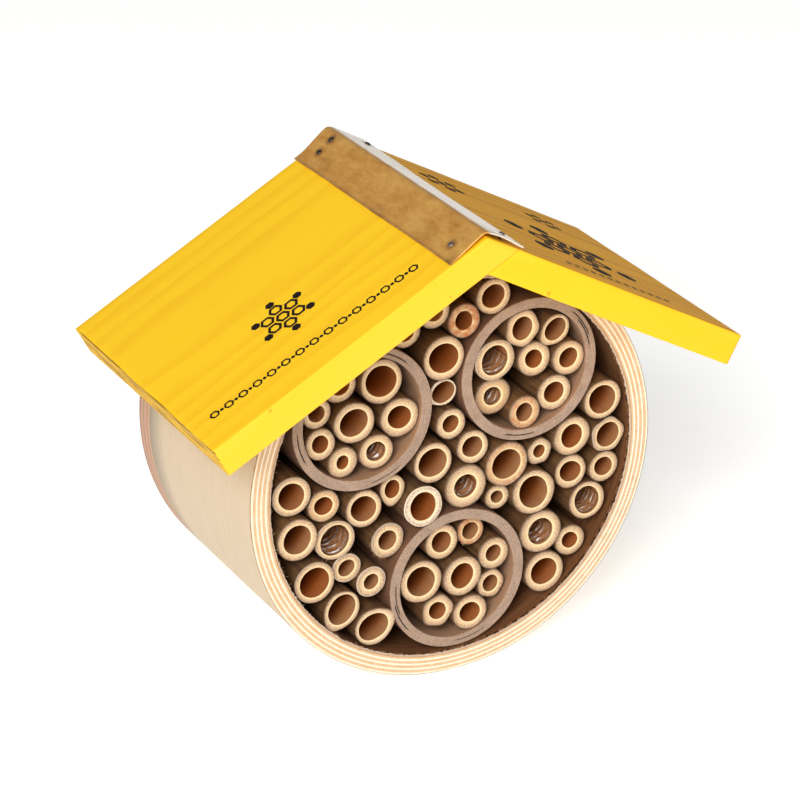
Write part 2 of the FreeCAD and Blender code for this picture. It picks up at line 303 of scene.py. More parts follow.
class GeometryGraph(Graph):
    """A Geometry Nodes tree with named inputs, run on a mesh of points to give a plain mesh."""

    def __init__(self, name: str) -> None:
        """Starts a tree that takes points.

        Args:
            name: Name of the tree.
        """
        super().__init__(bpy.data.node_groups.new(name, "GeometryNodeTree"))
        self.tree.interface.new_socket("Geometry", in_out="OUTPUT", socket_type="NodeSocketGeometry")
        self.source = self.tree.nodes.new("NodeGroupInput")
        self.points = self.input("Points", "NodeSocketGeometry")
        self.material = self.input("Material", "NodeSocketMaterial")

    def input(self, name: str, kind: str = "NodeSocketFloat") -> Value:
        """Adds a named input to the tree."""
        self.tree.interface.new_socket(name, in_out="INPUT", socket_type=kind)
        return Value(self, self.source.outputs[name])

    def named(self, name: str, kind: str = "FLOAT") -> Value:
        """An attribute of the mesh, by name."""
        return self.node("GeometryNodeInputNamedAttribute", {"data_type": kind}, {"Name": name})

    def store(self, mesh: Value, name: str, value: Value, kind: str = "FLOAT") -> Value:
        """Writes a value to the mesh's points under a name."""
        inputs = {"Geometry": mesh, "Name": name, "Value": value}
        return self.node("GeometryNodeStoreNamedAttribute", {"data_type": kind}, inputs)

    def chance(self, low: float, high: float, seed: Value) -> Value:
        """A random number for each point or instance, the same each time for one seed.

        Args:
            low: The least that it can be.
            high: The most that it can be.
            seed: Link of the seed.

        Returns:
            The number.
        """
        made = self.place("FunctionNodeRandomValue", {"data_type": "FLOAT"}, {"Seed": seed})
        for socket in made.inputs:
            if socket.enabled and socket.name in ("Min", "Max"):
                socket.default_value = low if socket.name == "Min" else high
        return Value(self, next(socket for socket in made.outputs if socket.enabled))

    def sheets(self, columns: int, rows: int) -> Value:
        """A flat sheet at each point, whose own points carry the point's attributes.

        Args:
            columns: Faces along the attribute "turn", which runs from 0 to 1.
            rows: Faces along the attribute "row", which runs from 0 to their number.

        Returns:
            The sheets.
        """
        grid = {"Size X": 1.0, "Size Y": 1.0, "Vertices X": columns + 1, "Vertices Y": rows + 1}
        sheet = self.node("GeometryNodeMeshGrid", inputs=grid)
        across, along, _ = self.split(self.node("GeometryNodeInputPosition"))
        sheet = self.store(sheet, "turn", across + 0.5)
        sheet = self.store(sheet, "row", (along + 0.5) * rows)
        shape = self.node("GeometryNodeInstanceOnPoints", inputs={"Points": self.points, "Instance": sheet})
        return self.node("GeometryNodeRealizeInstances", inputs={0: shape})

    def finish(self, shape: Value, join_within: float = 1e-6) -> None:
        """Ends the tree: instances realised, seams joined, smooth, and its material on.

        Args:
            shape: The geometry so far.
            join_within: Points nearer than this become one.
        """
        shape = self.node("GeometryNodeRealizeInstances", inputs={0: shape})
        shape = self.node("GeometryNodeMergeByDistance", inputs={"Geometry": shape, "Distance": join_within})
        shape = self.node("GeometryNodeSetShadeSmooth", inputs={"Geometry": shape, "Shade Smooth": True})
        shape = self.node("GeometryNodeSetMaterial", inputs={"Geometry": shape, "Material": self.material})
        self.place("NodeGroupOutput", inputs={0: shape})

    def run(self, name: str, points: bpy.types.Mesh, settings: dict[str, Any]) -> bpy.types.Mesh:
        """Runs the tree on a mesh of points.

        Args:
            name: Name of the mesh that comes out.
            points: The points, with their attributes.
            settings: The tree's inputs by name.

        Returns:
            A plain mesh.
        """
        holder = bpy.data.objects.new(name, points)
        bpy.context.scene.collection.objects.link(holder)
        modifier = holder.modifiers.new("shape", "NODES")
        modifier.node_group = self.tree
        for item in self.tree.interface.items_tree:
            if item.item_type == "SOCKET" and item.in_out == "INPUT" and item.name in settings:
                modifier[item.identifier] = settings[item.name]
        mesh = plain(holder)
        mesh.name = name
        return mesh


# ---- Meshes ----
def plain(holder: bpy.types.Object) -> bpy.types.Mesh:
    """The evaluated mesh of an object, whose modifiers and object are then gone.

    Args:
        holder: Object with live modifiers.

    Returns:
        A plain mesh.
    """
    depsgraph = bpy.context.evaluated_depsgraph_get()
    evaluated = holder.evaluated_get(depsgraph)
    mesh = bpy.data.meshes.new_from_object(evaluated, preserve_all_data_layers=True, depsgraph=depsgraph)
    holder.modifiers.clear()
    bpy.data.objects.remove(holder)
    return mesh


def worked(mesh: bpy.types.Mesh, *steps: tuple[str, dict[str, Any]]) -> bpy.types.Mesh:
    """A mesh taken through modifiers.

    Args:
        mesh: The mesh to start from.
        steps: Each modifier's type and settings.

    Returns:
        The finished plain mesh.
    """
    holder = bpy.data.objects.new(mesh.name, mesh)
    bpy.context.scene.collection.objects.link(holder)
    for kind, settings in steps:
        modifier = holder.modifiers.new(kind.lower(), kind)
        for name, setting in settings.items():
            setattr(modifier, name, setting)
    return plain(holder)


def points_mesh(name: str, places: Sequence[Vector], **values: Sequence[Any]) -> bpy.types.Mesh:
    """A mesh of loose points that carry attributes.

    Args:
        name: Name of the mesh.
        places: Where the points are. They are stored as the attribute "centre" too.
        values: One number or vector for each point, by attribute name.

    Returns:
        The mesh.
    """
    mesh = bpy.data.meshes.new(name)
    mesh.from_pydata([tuple(place) for place in places], [], [])
    for key, column in {"centre": places, **values}.items():
        if isinstance(column[0], Vector):
            layer = mesh.attributes.new(key, "FLOAT_VECTOR", "POINT")
            layer.data.foreach_set("vector", [part for value in column for part in value])
        else:
            store_numbers(mesh, key, column, "INT" if isinstance(column[0], int) else "FLOAT")
    return mesh


def sheet_mesh(name: str, rows: Sequence[Sequence[Vector]], closed: bool = False) -> bpy.types.Mesh:
    """Quads through a grid of points.

    Args:
        name: Name of the mesh.
        rows: Rows of the same number of points.
        closed: Whether each row joins its end to its start.

    Returns:
        The mesh.
    """
    width = len(rows[0])
    faces = []
    for row in range(len(rows) - 1):
        for col in range(width if closed else width - 1):
            after = (col + 1) % width
            below = row * width
            faces.append((below + col, below + after, below + width + after, below + width + col))
    mesh = bpy.data.meshes.new(name)
    mesh.from_pydata([tuple(point) for row in rows for point in row], [], faces)
    return mesh


def store_numbers(mesh: bpy.types.Mesh, name: str, values: Iterable[float], kind: str = "FLOAT") -> None:
    """Writes one number for each of a mesh's points under a name."""
    layer = mesh.attributes.new(name, kind, "POINT")
    layer.data.foreach_set("value", list(values))


def tidied(mesh: bpy.types.Mesh, turn_out: bool = False) -> bpy.types.Mesh:
    """Joins the doubles of a mesh and shades it smooth.

    Args:
        mesh: The mesh, changed in place.
        turn_out: Whether its faces are also made to point outwards.

    Returns:
        The same mesh.
    """
    work = bmesh.new()
    work.from_mesh(mesh)
    bmesh.ops.remove_doubles(work, verts=work.verts, dist=1e-6)
    bmesh.ops.dissolve_degenerate(work, edges=work.edges, dist=1e-7)
    if turn_out:
        bmesh.ops.recalc_face_normals(work, faces=work.faces)
    work.to_mesh(mesh)
    work.free()
    mesh.shade_smooth()
    return mesh


def merged_copy(node: str) -> bmesh.types.BMesh:
    """A working copy of a CAD node with its doubles joined.

    Args:
        node: Name of the CAD node.

    Returns:
        The copy, which the caller frees.
    """
    work = bmesh.new()
    work.from_mesh(bpy.data.objects[node].data)
    bmesh.ops.remove_doubles(work, verts=work.verts, dist=1e-6)
    return work


def islands(node: str) -> list[list[Vector]]:
    """The points of each separate solid in a CAD node.

    Args:
        node: Name of the CAD node.

    Returns:
        One list of points for each solid, from left to right and then from the bottom up.
    """
    work = merged_copy(node)
    left = set(work.verts)
    found = []
    # by index, because a set of vertices has another order in each run
    for start in work.verts:
        if start not in left:
            continue
        left.remove(start)
        front, solid = [start], []
        while front:
            vert = front.pop()
            solid.append(vert.co.copy())
            for edge in vert.link_edges:
                other = edge.other_vert(vert)
                if other in left:
                    left.remove(other)
                    front.append(other)
        found.append(solid)
    work.free()
    return sorted(found, key=lambda solid: (round(middle(solid).x, 4), round(middle(solid).z, 4)))


def middle(points: Sequence[Vector]) -> Vector:
    """The middle of the box round some points."""
    columns = list(zip(*points))
    return (Vector([min(column) for column in columns]) + Vector([max(column) for column in columns])) / 2


def softened(node: str, width: float, material: bpy.types.Material) -> bpy.types.Mesh:
    """A CAD node's shape with its sharp edges broken.

    Args:
        node: Name of the CAD node.
        width: Width of the broken edge.
        material: Its material.

    Returns:
        The mesh.
    """
    work = merged_copy(node)
    bmesh.ops.dissolve_limit(work, angle_limit=math.radians(0.5), verts=work.verts, edges=work.edges)
    mesh = bpy.data.meshes.new(node)
    work.to_mesh(mesh)
    work.free()
    mesh.materials.clear()
    mesh.materials.append(material)
    bevel = {
        "width": width,
        "segments": 2,
        "limit_method": "ANGLE",
        "angle_limit": math.radians(40),
        "use_clamp_overlap": True,
    }
    mesh = worked(mesh, ("BEVEL", bevel), ("TRIANGULATE", {}))
    mesh.shade_smooth()
    mesh.set_sharp_from_angle(angle=math.radians(35))
    return mesh


def show(
    name: str, mesh: bpy.types.Mesh, body: str, stands_for: Sequence[str] = ()
) -> bpy.types.Object:
    """Puts a finished mesh in the scene as a piece of the object.

    Args:
        name: Name of the piece.
        mesh: Its mesh, in place.
        body: The body that it rides on.
        stands_for: CAD nodes that it takes the place of.

    Returns:
        The piece.
    """
    mesh.name = name
    piece = bpy.data.objects.new(name, mesh)
    bpy.context.scene.collection.objects.link(piece)
    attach(piece, body)
    if stands_for:
        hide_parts(*stands_for)
    work = bmesh.new()
    work.from_mesh(mesh)
    triangles = sum(len(face.verts) - 2 for face in work.faces)
    loose = sum(1 for edge in work.edges if len(edge.link_faces) != 2)
    volume = work.calc_volume(signed=True) * 1e6
    work.free()
    LOG.info("%s on %s: %d triangles, %.3f cm3, %d open edges", name, body, triangles, volume, loose)
    return piece


# ---- Finishes ----
@dataclass(frozen=True)
class Finish:
    """A finish and the material that shows it."""

    label: str

    def surface(self, g: Graph) -> dict[str, Any]:
        """Sockets of the shader, by name.

        Args:
            g: The material's graph.

        Returns:
            Values and links for the Principled shader.
        """
        raise NotImplementedError

    def material(self) -> bpy.types.Material:
        """Builds the material.

        Returns:
            The material.
        """
        made = bpy.data.materials.new(self.label)
        made.use_nodes = True
        g = Graph(made.node_tree)
        shader = g.node("ShaderNodeBsdfPrincipled", inputs=self.surface(g), output="BSDF")
        g.place("ShaderNodeOutputMaterial", inputs={"Surface": shader})
        return made

    @staticmethod
    def place(g: Graph) -> Value:
        """Where on the object a point is."""
        return g.node("ShaderNodeTexCoord", output="Object")


@dataclass(frozen=True)
class StainedPine(Finish):
    """Pine board with a yellow stain, its grain running down the slope."""

    side: int = -1
    pitch: float = 0.5
    ridge_z: float = 0.098
    length: float = 0.12
    early: Colour = colour(255, 205, 28)
    late: Colour = colour(247, 186, 18)
    sawn: Colour = colour(214, 166, 34)
    sawn_dark: Colour = colour(118, 74, 10)
    # front face colour, a touch darker and more orange than the top: painted shade that tones down the light
    # on that face
    painted_front_shade: Colour = colour(252, 195, 41)
    front: float = -0.118
    gloss: float = 0.3
    # darker, more orange colours for a top face in shade: painted shade
    painted_shade_top: tuple[Colour, Colour] | None = None
    knot: Colour = colour(206, 140, 30)
    ring_spacing: float = 0.0066
    contrast: float = 0.5
    heart: tuple[float, float] = (-0.046, -0.034)
    spots: tuple[tuple[float, float, float], ...] = ()

    def surface(self, g: Graph) -> dict[str, Any]:
        """Rings and fibres of the grain, darker where sawn, with painted shade: a darker, more orange front
        face, and darker top colours for a board in shade.

        Args:
            g: The material's graph.

        Returns:
            Values and links for the Principled shader.
        """
        angle = self.pitch if self.side > 0 else math.pi - self.pitch
        turn = {"Location": (0, 0, self.ridge_z), "Rotation": (0, angle, 0)}
        run = g.node("ShaderNodeMapping", {"vector_type": "TEXTURE"}, {"Vector": self.place(g), **turn})
        down, depth, thick = g.split(run)
        drift = g.noise(g.stretched(run, 9, 42, 42), 1.0, 2.0) - 0.5
        waver = g.noise(g.stretched(run, 40, 260, 260), 1.0, 2.0) - 0.5
        heart_y, heart_t = self.heart
        radius = ((depth - heart_y) ** 2 + (thick * self.side - heart_t) ** 2) ** 0.5
        rings = (radius + drift * 0.011 + waver * 0.0008) / self.ring_spacing
        phase = rings.fraction()
        late = phase.eased(0.2, 0.82) * phase.eased(1.0, 0.84)
        fibre = g.noise(g.stretched(run, 55, 1500, 1500), 1.0, 3.0, 0.6)
        cloud = g.noise(g.stretched(run, 30, 70, 70), 1.0, 3.0)
        share = (late * self.contrast + (fibre - 0.5) * 0.4 + (cloud - 0.5) * 0.7).clamped()
        shade = g.blend(share, self.early, self.late)
        # painted shade: the top face takes the darker colours
        if self.painted_shade_top:
            top = (thick * self.side).eased(-0.7 * MM, -0.25 * MM)
            shade = g.blend(top, shade, g.blend(share, *self.painted_shade_top))
        # painted shade: the front face takes the darker, more orange colour
        cut = depth.eased(self.front + 0.6 * MM, self.front + 0.15 * MM)
        shade = g.blend(cut, shade, g.blend(share * 0.6, self.painted_front_shade, self.late))
        end = down.eased(self.length - 0.0006, self.length - 0.0001)
        shade = g.blend((end * (0.72 + (fibre - 0.5) * 1.2 + late * 0.25)).clamped(), shade, self.sawn)
        saw = g.noise(g.stretched(run, 1, 26, 720), 1.0, 3.0, 0.6).eased(0.50, 0.60)
        shade = g.blend(end * saw * 0.9, shade, self.sawn_dark)
        pits = 0.0
        for spot_down, spot_thick, size in self.spots:
            spot = (spot_down, self.front, spot_thick * self.side)
            away = g.vector("DISTANCE", run, spot, output="Value")
            pits = pits + (away + (fibre - 0.5) * size * 0.8).eased(size, size * 0.25)
        if self.spots:
            shade = g.blend((pits * 0.75).clamped(), shade, self.knot)
        height = late * 0.35 + fibre * 0.5 + g.noise(g.stretched(run, 300, 900, 900), 1.0, 2.0) * 0.3
        return {
            "Base Color": shade,
            "Roughness": 0.56 + (fibre - 0.5) * 0.2 + end * 0.2,
            "Specular IOR Level": self.gloss,
            "Normal": g.bump(height, 0.12 * MM, 0.55),
        }


@dataclass(frozen=True)
class AgedBrass(Finish):
    """Folded brass sheet, stained brown and scratched along the ridge."""

    bright: Colour = colour(248, 190, 98)
    dull: Colour = colour(220, 152, 64)
    # near-white painted glare for the right leg
    painted_glare: Colour = colour(255, 240, 218)
    stain: Colour = colour(84, 52, 28)
    leg: float = 16.5 * MM
    marks: tuple[tuple[float, float, float], ...] = ()

    def surface(self, g: Graph) -> dict[str, Any]:
        """Mottled and stained brass on the left leg; on the right leg a painted glare, near-white, with less
        stain and no scratches.

        Args:
            g: The material's graph.

        Returns:
            Values and links for the Principled shader.
        """
        place = self.place(g)
        across = g.attribute("across")
        down = abs(across)
        cloud = g.noise(place, 55, 4.0, 0.62)
        mottle = g.noise(g.stretched(place, 210, 90, 210), 1.0, 5.0, 0.7)
        drag = g.noise(g.stretched(place, 2600, 36, 2600), 1.0, 3.0, 0.6)
        cross = g.noise(g.stretched(place, 190, 2400, 190), 1.0, 3.0, 0.6)
        scratch = (drag.eased(0.60, 0.70) + cross.eased(0.66, 0.74)).clamped()
        edge = down.eased(self.leg - 1.6 * MM, self.leg - 0.1 * MM)
        halo = 0.0
        for mark in self.marks:
            away = g.vector("DISTANCE", place, mark, output="Value") + (mottle - 0.5) * 1.6 * MM
            halo = halo + away.eased(3.4 * MM, 1.0 * MM)
        # painted glare: the right leg turns near-white, losing most of its stain and all its scratches
        right = across.eased(0.2 * MM, 2.0 * MM)
        dark = cloud.eased(0.50, 0.72) * 0.42 + edge * 0.6 + mottle.eased(0.60, 0.76) * 0.35
        dark = (dark * (1 - right * 0.85) + halo * 0.85).clamped()
        shade = g.blend(mottle.eased(0.3, 0.7), self.bright, self.dull)
        shade = g.blend(right * 0.9, shade, self.painted_glare)
        shade = g.blend(dark * 0.8, shade, self.stain)
        shade = g.blend(scratch * 0.35 * (1 - edge) * (1 - right), shade, self.bright)
        height = mottle * 0.4 + scratch * 0.4 + g.noise(place, 1400, 2.0) * 0.3
        uneven = dark * 0.2 + (mottle - 0.5) * 0.25 - scratch * 0.08
        return {
            "Base Color": shade,
            "Metallic": 0.52 + right * 0.34 - dark * 0.2,
            "Roughness": (0.40 - right * 0.09 + uneven * (1 - right)).clamped(),
            "Coat Weight": 0.25 + right * 0.3,
            "Coat Roughness": 0.2,
            "Normal": g.bump(height * (1 - right), 0.08 * MM, 0.6),
        }


@dataclass(frozen=True)
class ZincSteel(Finish):
    """Zinc plated steel with a faint spangle and a little dulling."""

    bright: Colour = colour(196, 196, 194)
    dull: Colour = colour(128, 126, 122)
    rust: Colour = colour(112, 72, 44)
    worn: float = 0.2
    dark_from: float = 10.0

    def surface(self, g: Graph) -> dict[str, Any]:
        """Spangled zinc with a little rust.

        Args:
            g: The material's graph.

        Returns:
            Values and links for the Principled shader.
        """
        place = self.place(g)
        spangle = g.node("ShaderNodeTexVoronoi", {"feature": "F1"}, {"Vector": place, "Scale": 900.0})
        cloud = g.noise(place, 420, 3.0, 0.6)
        brushed = g.noise(g.stretched(place, 300, 5200, 300), 1.0, 2.0)
        shade = g.blend((spangle * 0.5 + cloud * 0.6).clamped(), self.bright, self.dull)
        _, y, _ = g.split(place)
        shade = g.blend(cloud.eased(0.62, 0.8) * self.worn * 2, shade, self.rust)
        shade = g.blend(y.eased(self.dark_from, self.dark_from + 0.01) * 0.8, shade, self.rust)
        return {
            "Base Color": shade,
            "Metallic": 0.92 - cloud.eased(0.62, 0.8) * self.worn,
            "Roughness": 0.30 + cloud * 0.25 + (brushed - 0.5) * 0.12,
            "Normal": g.bump(spangle * 0.4 + brushed * 0.6, 0.03 * MM, 0.5),
        }


@dataclass(frozen=True)
class BentPlywood(Finish):
    """Shell of thin birch plies bent round the drum. Its edge shows them in turn, cream and tan."""

    plies: int = 9
    face: Colour = colour(208, 188, 160)
    streak: Colour = colour(194, 172, 142)
    cream: Colour = colour(244, 226, 202)
    tan: Colour = colour(212, 168, 120)
    # browns of the inside face: painted shade, for the shade inside the drum
    inner: Colour = colour(124, 80, 44)
    inner_dark_shade: Colour = colour(100, 60, 28)
    pore: Colour = colour(150, 104, 62)

    def surface(self, g: Graph) -> dict[str, Any]:
        """Birch skin outside, plies in turn on the cut edge, and an inside face painted brown as painted
        shade.

        Args:
            g: The material's graph.

        Returns:
            Values and links for the Principled shader.
        """
        place = self.place(g)
        wall, kind = g.attribute("wall"), g.attribute("kind")
        ply = wall * self.plies
        turn = (ply * 0.5).fraction()
        broad = turn.eased(0.30, 0.38) * turn.eased(1.0, 0.94)
        streaks = g.noise(g.stretched(place, 14, 900, 14), 1.0, 3.0, 0.6)
        around = g.noise(g.stretched(place, 260, 30, 260), 1.0, 4.0, 0.6)
        dots = g.noise(place, 2600, 2.0, 0.6)
        glue = abs(ply.fraction() - 0.5).eased(0.44, 0.5)
        edge = g.blend((broad * 0.85 + (around - 0.5) * 0.7).clamped(), self.cream, self.tan)
        # painted shade: the innermost plies of the cut edge are blended towards the inside brown
        inmost = wall.eased(0.16, 0.09)
        edge = g.blend(inmost * 0.55, edge, self.inner)
        specks = dots.eased(0.54, 0.72) * (broad * 0.5 + inmost * 0.4 + 0.06)
        edge = g.blend((specks + glue * 0.16).clamped(), edge, self.pore)
        clouds = g.noise(g.stretched(place, 30, 120, 30), 1.0, 4.0, 0.7)
        pores = g.noise(g.stretched(place, 120, 2600, 120), 1.0, 1.0)
        skin = g.blend(streaks.eased(0.36, 0.70) * 0.4, self.face, self.streak)
        skin = g.blend(clouds.eased(0.5, 0.8) * 0.6, skin, self.streak)
        skin = g.blend(pores.eased(0.70, 0.80) * 0.15, skin, self.pore)
        # painted shade: the inside face is painted brown
        lining = g.blend(streaks.eased(0.3, 0.7), self.inner, self.inner_dark_shade)
        shade = g.blend(kind.eased(0.2, 0.8), lining, edge)
        shade = g.blend((kind - 1.0).eased(0.3, 0.8), shade, skin)
        height = dots * 0.5 + streaks * 0.3 + around * 0.3 - glue * 0.6 * kind.eased(1.6, 1.2)
        return {
            "Base Color": shade,
            "Roughness": 0.62 + dots * 0.16,
            "Normal": g.bump(height, 0.10 * MM, 0.6),
        }


@dataclass(frozen=True)
class PanelPlywood(Finish):
    """Flat birch plywood disc: rotary-cut face, plies showing round its edge."""

    radius: float = 0.081
    thickness: float = 9 * MM
    plies: int = 6
    face: Colour = colour(226, 200, 164)
    band: Colour = colour(200, 164, 122)
    rim_light: Colour = colour(196, 156, 128)
    rim_dark: Colour = colour(150, 108, 86)

    def surface(self, g: Graph) -> dict[str, Any]:
        """Waves of the rotary-cut face, and plies on the rim.

        Args:
            g: The material's graph.

        Returns:
            Values and links for the Principled shader.
        """
        place = self.place(g)
        x, y, z = g.split(place)
        out = (x ** 2 + z ** 2) ** 0.5
        drift = g.noise(g.stretched(place, 16, 40, 6), 1.0, 3.0, 0.55)
        figure = ((x + (drift - 0.5) * 0.09) / 0.011).fraction()
        waves = figure.eased(0.2, 0.8) * figure.eased(1.0, 0.85)
        fibre = g.noise(g.stretched(place, 1500, 600, 60), 1.0, 3.0, 0.6)
        shade = g.blend((waves * 0.7 + (fibre - 0.5) * 0.8).clamped(), self.face, self.band)
        rim = out.eased(self.radius - 0.5 * MM, self.radius - 0.15 * MM)
        ply = (y / self.thickness * self.plies * 0.5).fraction()
        stripe = ply.eased(0.42, 0.55) * ply.eased(1.0, 0.9)
        around = g.noise(g.stretched(place, 60, 900, 60), 1.0, 3.0, 0.6)
        sides = g.blend((stripe * 0.45 + (around - 0.4) * 0.9).clamped(), self.rim_light, self.rim_dark)
        shade = g.blend(rim, shade, sides)
        height = fibre * 0.6 + waves * 0.25 + stripe * rim * 0.4
        return {
            "Base Color": shade,
            "Roughness": 0.6 + fibre * 0.15,
            "Normal": g.bump(height, 0.12 * MM, 0.6),
        }


@dataclass(frozen=True)
class WoundCard(Finish):
    """Grey-brown card wound in a spiral, in many thin layers."""

    layers: int = 8
    wrap: float = 34 * MM
    light: Colour = colour(174, 146, 124)
    dark: Colour = colour(118, 94, 78)
    skin: Colour = colour(128, 86, 58)
    skin_dark: Colour = colour(96, 64, 44)
    lining: Colour = colour(178, 138, 106)
    line: Colour = colour(80, 62, 52)
    # near-black painted shade for the cracks in the end
    split: Colour = colour(24, 18, 20)

    def surface(self, g: Graph) -> dict[str, Any]:
        """Layers on the cut end, a spiral joint along the outside.

        Args:
            g: The material's graph.

        Returns:
            Values and links for the Principled shader.
        """
        place = self.place(g)
        wall, kind, crack_shade = g.attribute("wall"), g.attribute("kind"), g.attribute("split")
        x, y, z = g.split(g.node("ShaderNodeAttribute", {"attribute_name": "local"}, output="Vector"))
        pulp = g.noise(place, 1700, 3.0, 0.65)
        cloud = g.noise(place, 160, 3.0, 0.6)
        waver = g.noise(place, 240, 2.0) - 0.5
        layer = (wall * self.layers + waver * 0.9).fraction()
        seams = (layer.eased(0.50, 0.85) * layer.eased(1.0, 0.92)) * pulp.eased(0.35, 0.65)
        dash = g.noise(place, 900, 4.0, 0.7)
        mottle = ((pulp - 0.2) * 0.8 + (cloud - 0.5) * 0.9 + (dash - 0.5) * 0.9).clamped()
        shade = g.blend(mottle, self.light, self.dark)
        shade = g.blend(seams * 0.6, shade, self.line)
        turn = g.node("ShaderNodeMath", {"operation": "ARCTAN2"}, {0: z, 1: x})
        joint = abs((turn / TAU + y / self.wrap).fraction() - 0.5).eased(0.488, 0.497)
        outside = g.blend((pulp * 0.5 + cloud * 0.4).clamped(), self.skin, self.skin_dark)
        outside = g.blend(joint * 0.7, outside, self.line)
        inside = g.blend((pulp * 0.6).clamped(), self.lining, self.skin)
        outside = g.blend(kind.eased(0.8, 0.2), outside, inside)
        away = abs(kind - 1.0).eased(0.3, 0.8)
        shade = g.blend(away, shade, outside)
        # painted shade: the cracks in the end are coloured near-black
        shade = g.blend(crack_shade.eased(0.25, 0.6), shade, self.split)
        height = pulp * 0.7 + seams * -0.4 * (1 - away) - joint * away * 0.6
        return {
            "Base Color": shade,
            "Roughness": 0.82 + pulp * 0.1,
            "Normal": g.bump(height, 0.14 * MM, 0.7),
        }


@dataclass(frozen=True)
class Bamboo(Finish):
    """Dry cane: cream sawn ends with fibre specks, an olive-brown skin and an orange-brown bore."""

    cream: Colour = colour(216, 184, 142)
    pale: Colour = colour(228, 212, 188)
    tan: Colour = colour(206, 160, 104)
    lip: Colour = colour(242, 216, 166)
    outer: Colour = colour(180, 148, 118)
    rind: Colour = colour(100, 78, 57)
    speck: Colour = colour(118, 78, 46)
    burnt: Colour = colour(176, 96, 40)
    skin: Colour = colour(122, 84, 46)
    skin_dark: Colour = colour(54, 31, 15)
    # painted shade: the skin darkens towards the back, where the canes stand in each other's shade
    painted_deep_shade: Colour = colour(26, 13, 7)
    # the bore's colour at its mouth, and the darker one further in, which is painted shade in the bore
    bore_near: Colour = colour(172, 124, 84)
    bore_far_shaded: Colour = colour(144, 76, 26)
    bore_warm: Colour = colour(158, 80, 22)

    def surface(self, g: Graph) -> dict[str, Any]:
        """Specks and rind on the sawn end, a streaked skin and a warm bore, both darkened further in as
        painted shade.

        Args:
            g: The material's graph.

        Returns:
            Values and links for the Principled shader.
        """
        wall, kind = g.attribute("wall"), g.attribute("kind")
        tone, stain, grey = g.attribute("tone"), g.attribute("stain"), g.attribute("grey")
        local = g.node("ShaderNodeAttribute", {"attribute_name": "local"}, output="Vector")
        _, deep, _ = g.split(local)
        place = self.place(g)
        specks = g.noise(g.stretched(place, 2300, 400, 2300), 1.0, 3.0, 0.65)
        blur = g.noise(g.stretched(place, 420, 120, 420), 1.0, 3.0, 0.6)
        grit = g.noise(g.stretched(place, 1500, 300, 1500), 1.0, 3.0, 0.65)
        crowd = wall * 0.11 + blur * 0.10
        dots = (specks + crowd).eased(0.58, 0.72)
        sawn = g.blend(tone.eased(0.5, 1.0), self.cream, self.pale)
        sawn = g.blend(tone.eased(0.5, 0.0), sawn, self.tan)
        ring = (wall + (grit - 0.5) * 0.8).eased(0.26, 0.80)
        sawn = g.blend(ring * (1 - tone.eased(0.6, 1.0) * 0.5) * 0.8, sawn, self.outer)
        sawn = g.blend(wall.eased(0.26, 0.10) * 0.85, sawn, self.lip)
        sawn = g.blend((grit.eased(0.5, 0.75) * (0.15 + wall * 0.4)).clamped(), sawn, self.tan)
        sawn = g.blend((dots * (0.16 + wall * 0.62)).clamped(), sawn, self.speck)
        scorch = (stain * (blur * 1.5 + wall * 0.5 + 0.1)).clamped()
        sawn = g.blend(scorch * blur.eased(0.3, 0.7), sawn, self.burnt)
        rim = (wall + (blur - 0.5) * 0.12 + (grit - 0.5) * 0.08).eased(0.78, 0.93)
        rim_shade = g.blend(grey, self.rind, self.pale)
        sawn = g.blend(rim * 0.95, sawn, rim_shade)
        streaks = g.noise(g.stretched(place, 1300, 26, 1300), 1.0, 3.0, 0.6)
        skin = g.blend(streaks.eased(0.25, 0.75) * 0.75, self.skin, self.skin_dark)
        skin = g.blend(grey * 0.22, skin, self.rind)
        # painted shade: the skin is blended to near-black from 3 mm to 42 mm behind the front end
        skin = g.blend(deep.eased(3 * MM, 42 * MM) * 0.7, skin, self.painted_deep_shade)
        warmth = (g.attribute("seed") * 1.7).fraction().eased(0.45, 0.9)
        far = g.blend(warmth, self.bore_far_shaded, self.bore_warm)
        near = g.blend(warmth * 0.7, self.bore_near, self.bore_warm)
        # painted shade: the bore darkens from its mouth to 11 mm inside
        inside = g.blend(deep.eased(0.0, 11 * MM), near, far)
        stripes = (streaks.eased(0.45, 0.75) * 0.25 + (blur - 0.5) * 0.5).clamped()
        inside = g.blend(stripes, inside, self.skin)
        shade = g.blend(kind.eased(0.15, 0.6), inside, sawn)
        shade = g.blend((kind - 1.0).eased(0.25, 0.8), shade, skin)
        height = specks * 0.55 + streaks * 0.35 + blur * 0.2
        rough = 0.66 - kind.eased(0.7, 0.2) * 0.22 + specks * 0.12
        return {"Base Color": shade, "Roughness": rough, "Normal": g.bump(height, 0.10 * MM, 0.55)}


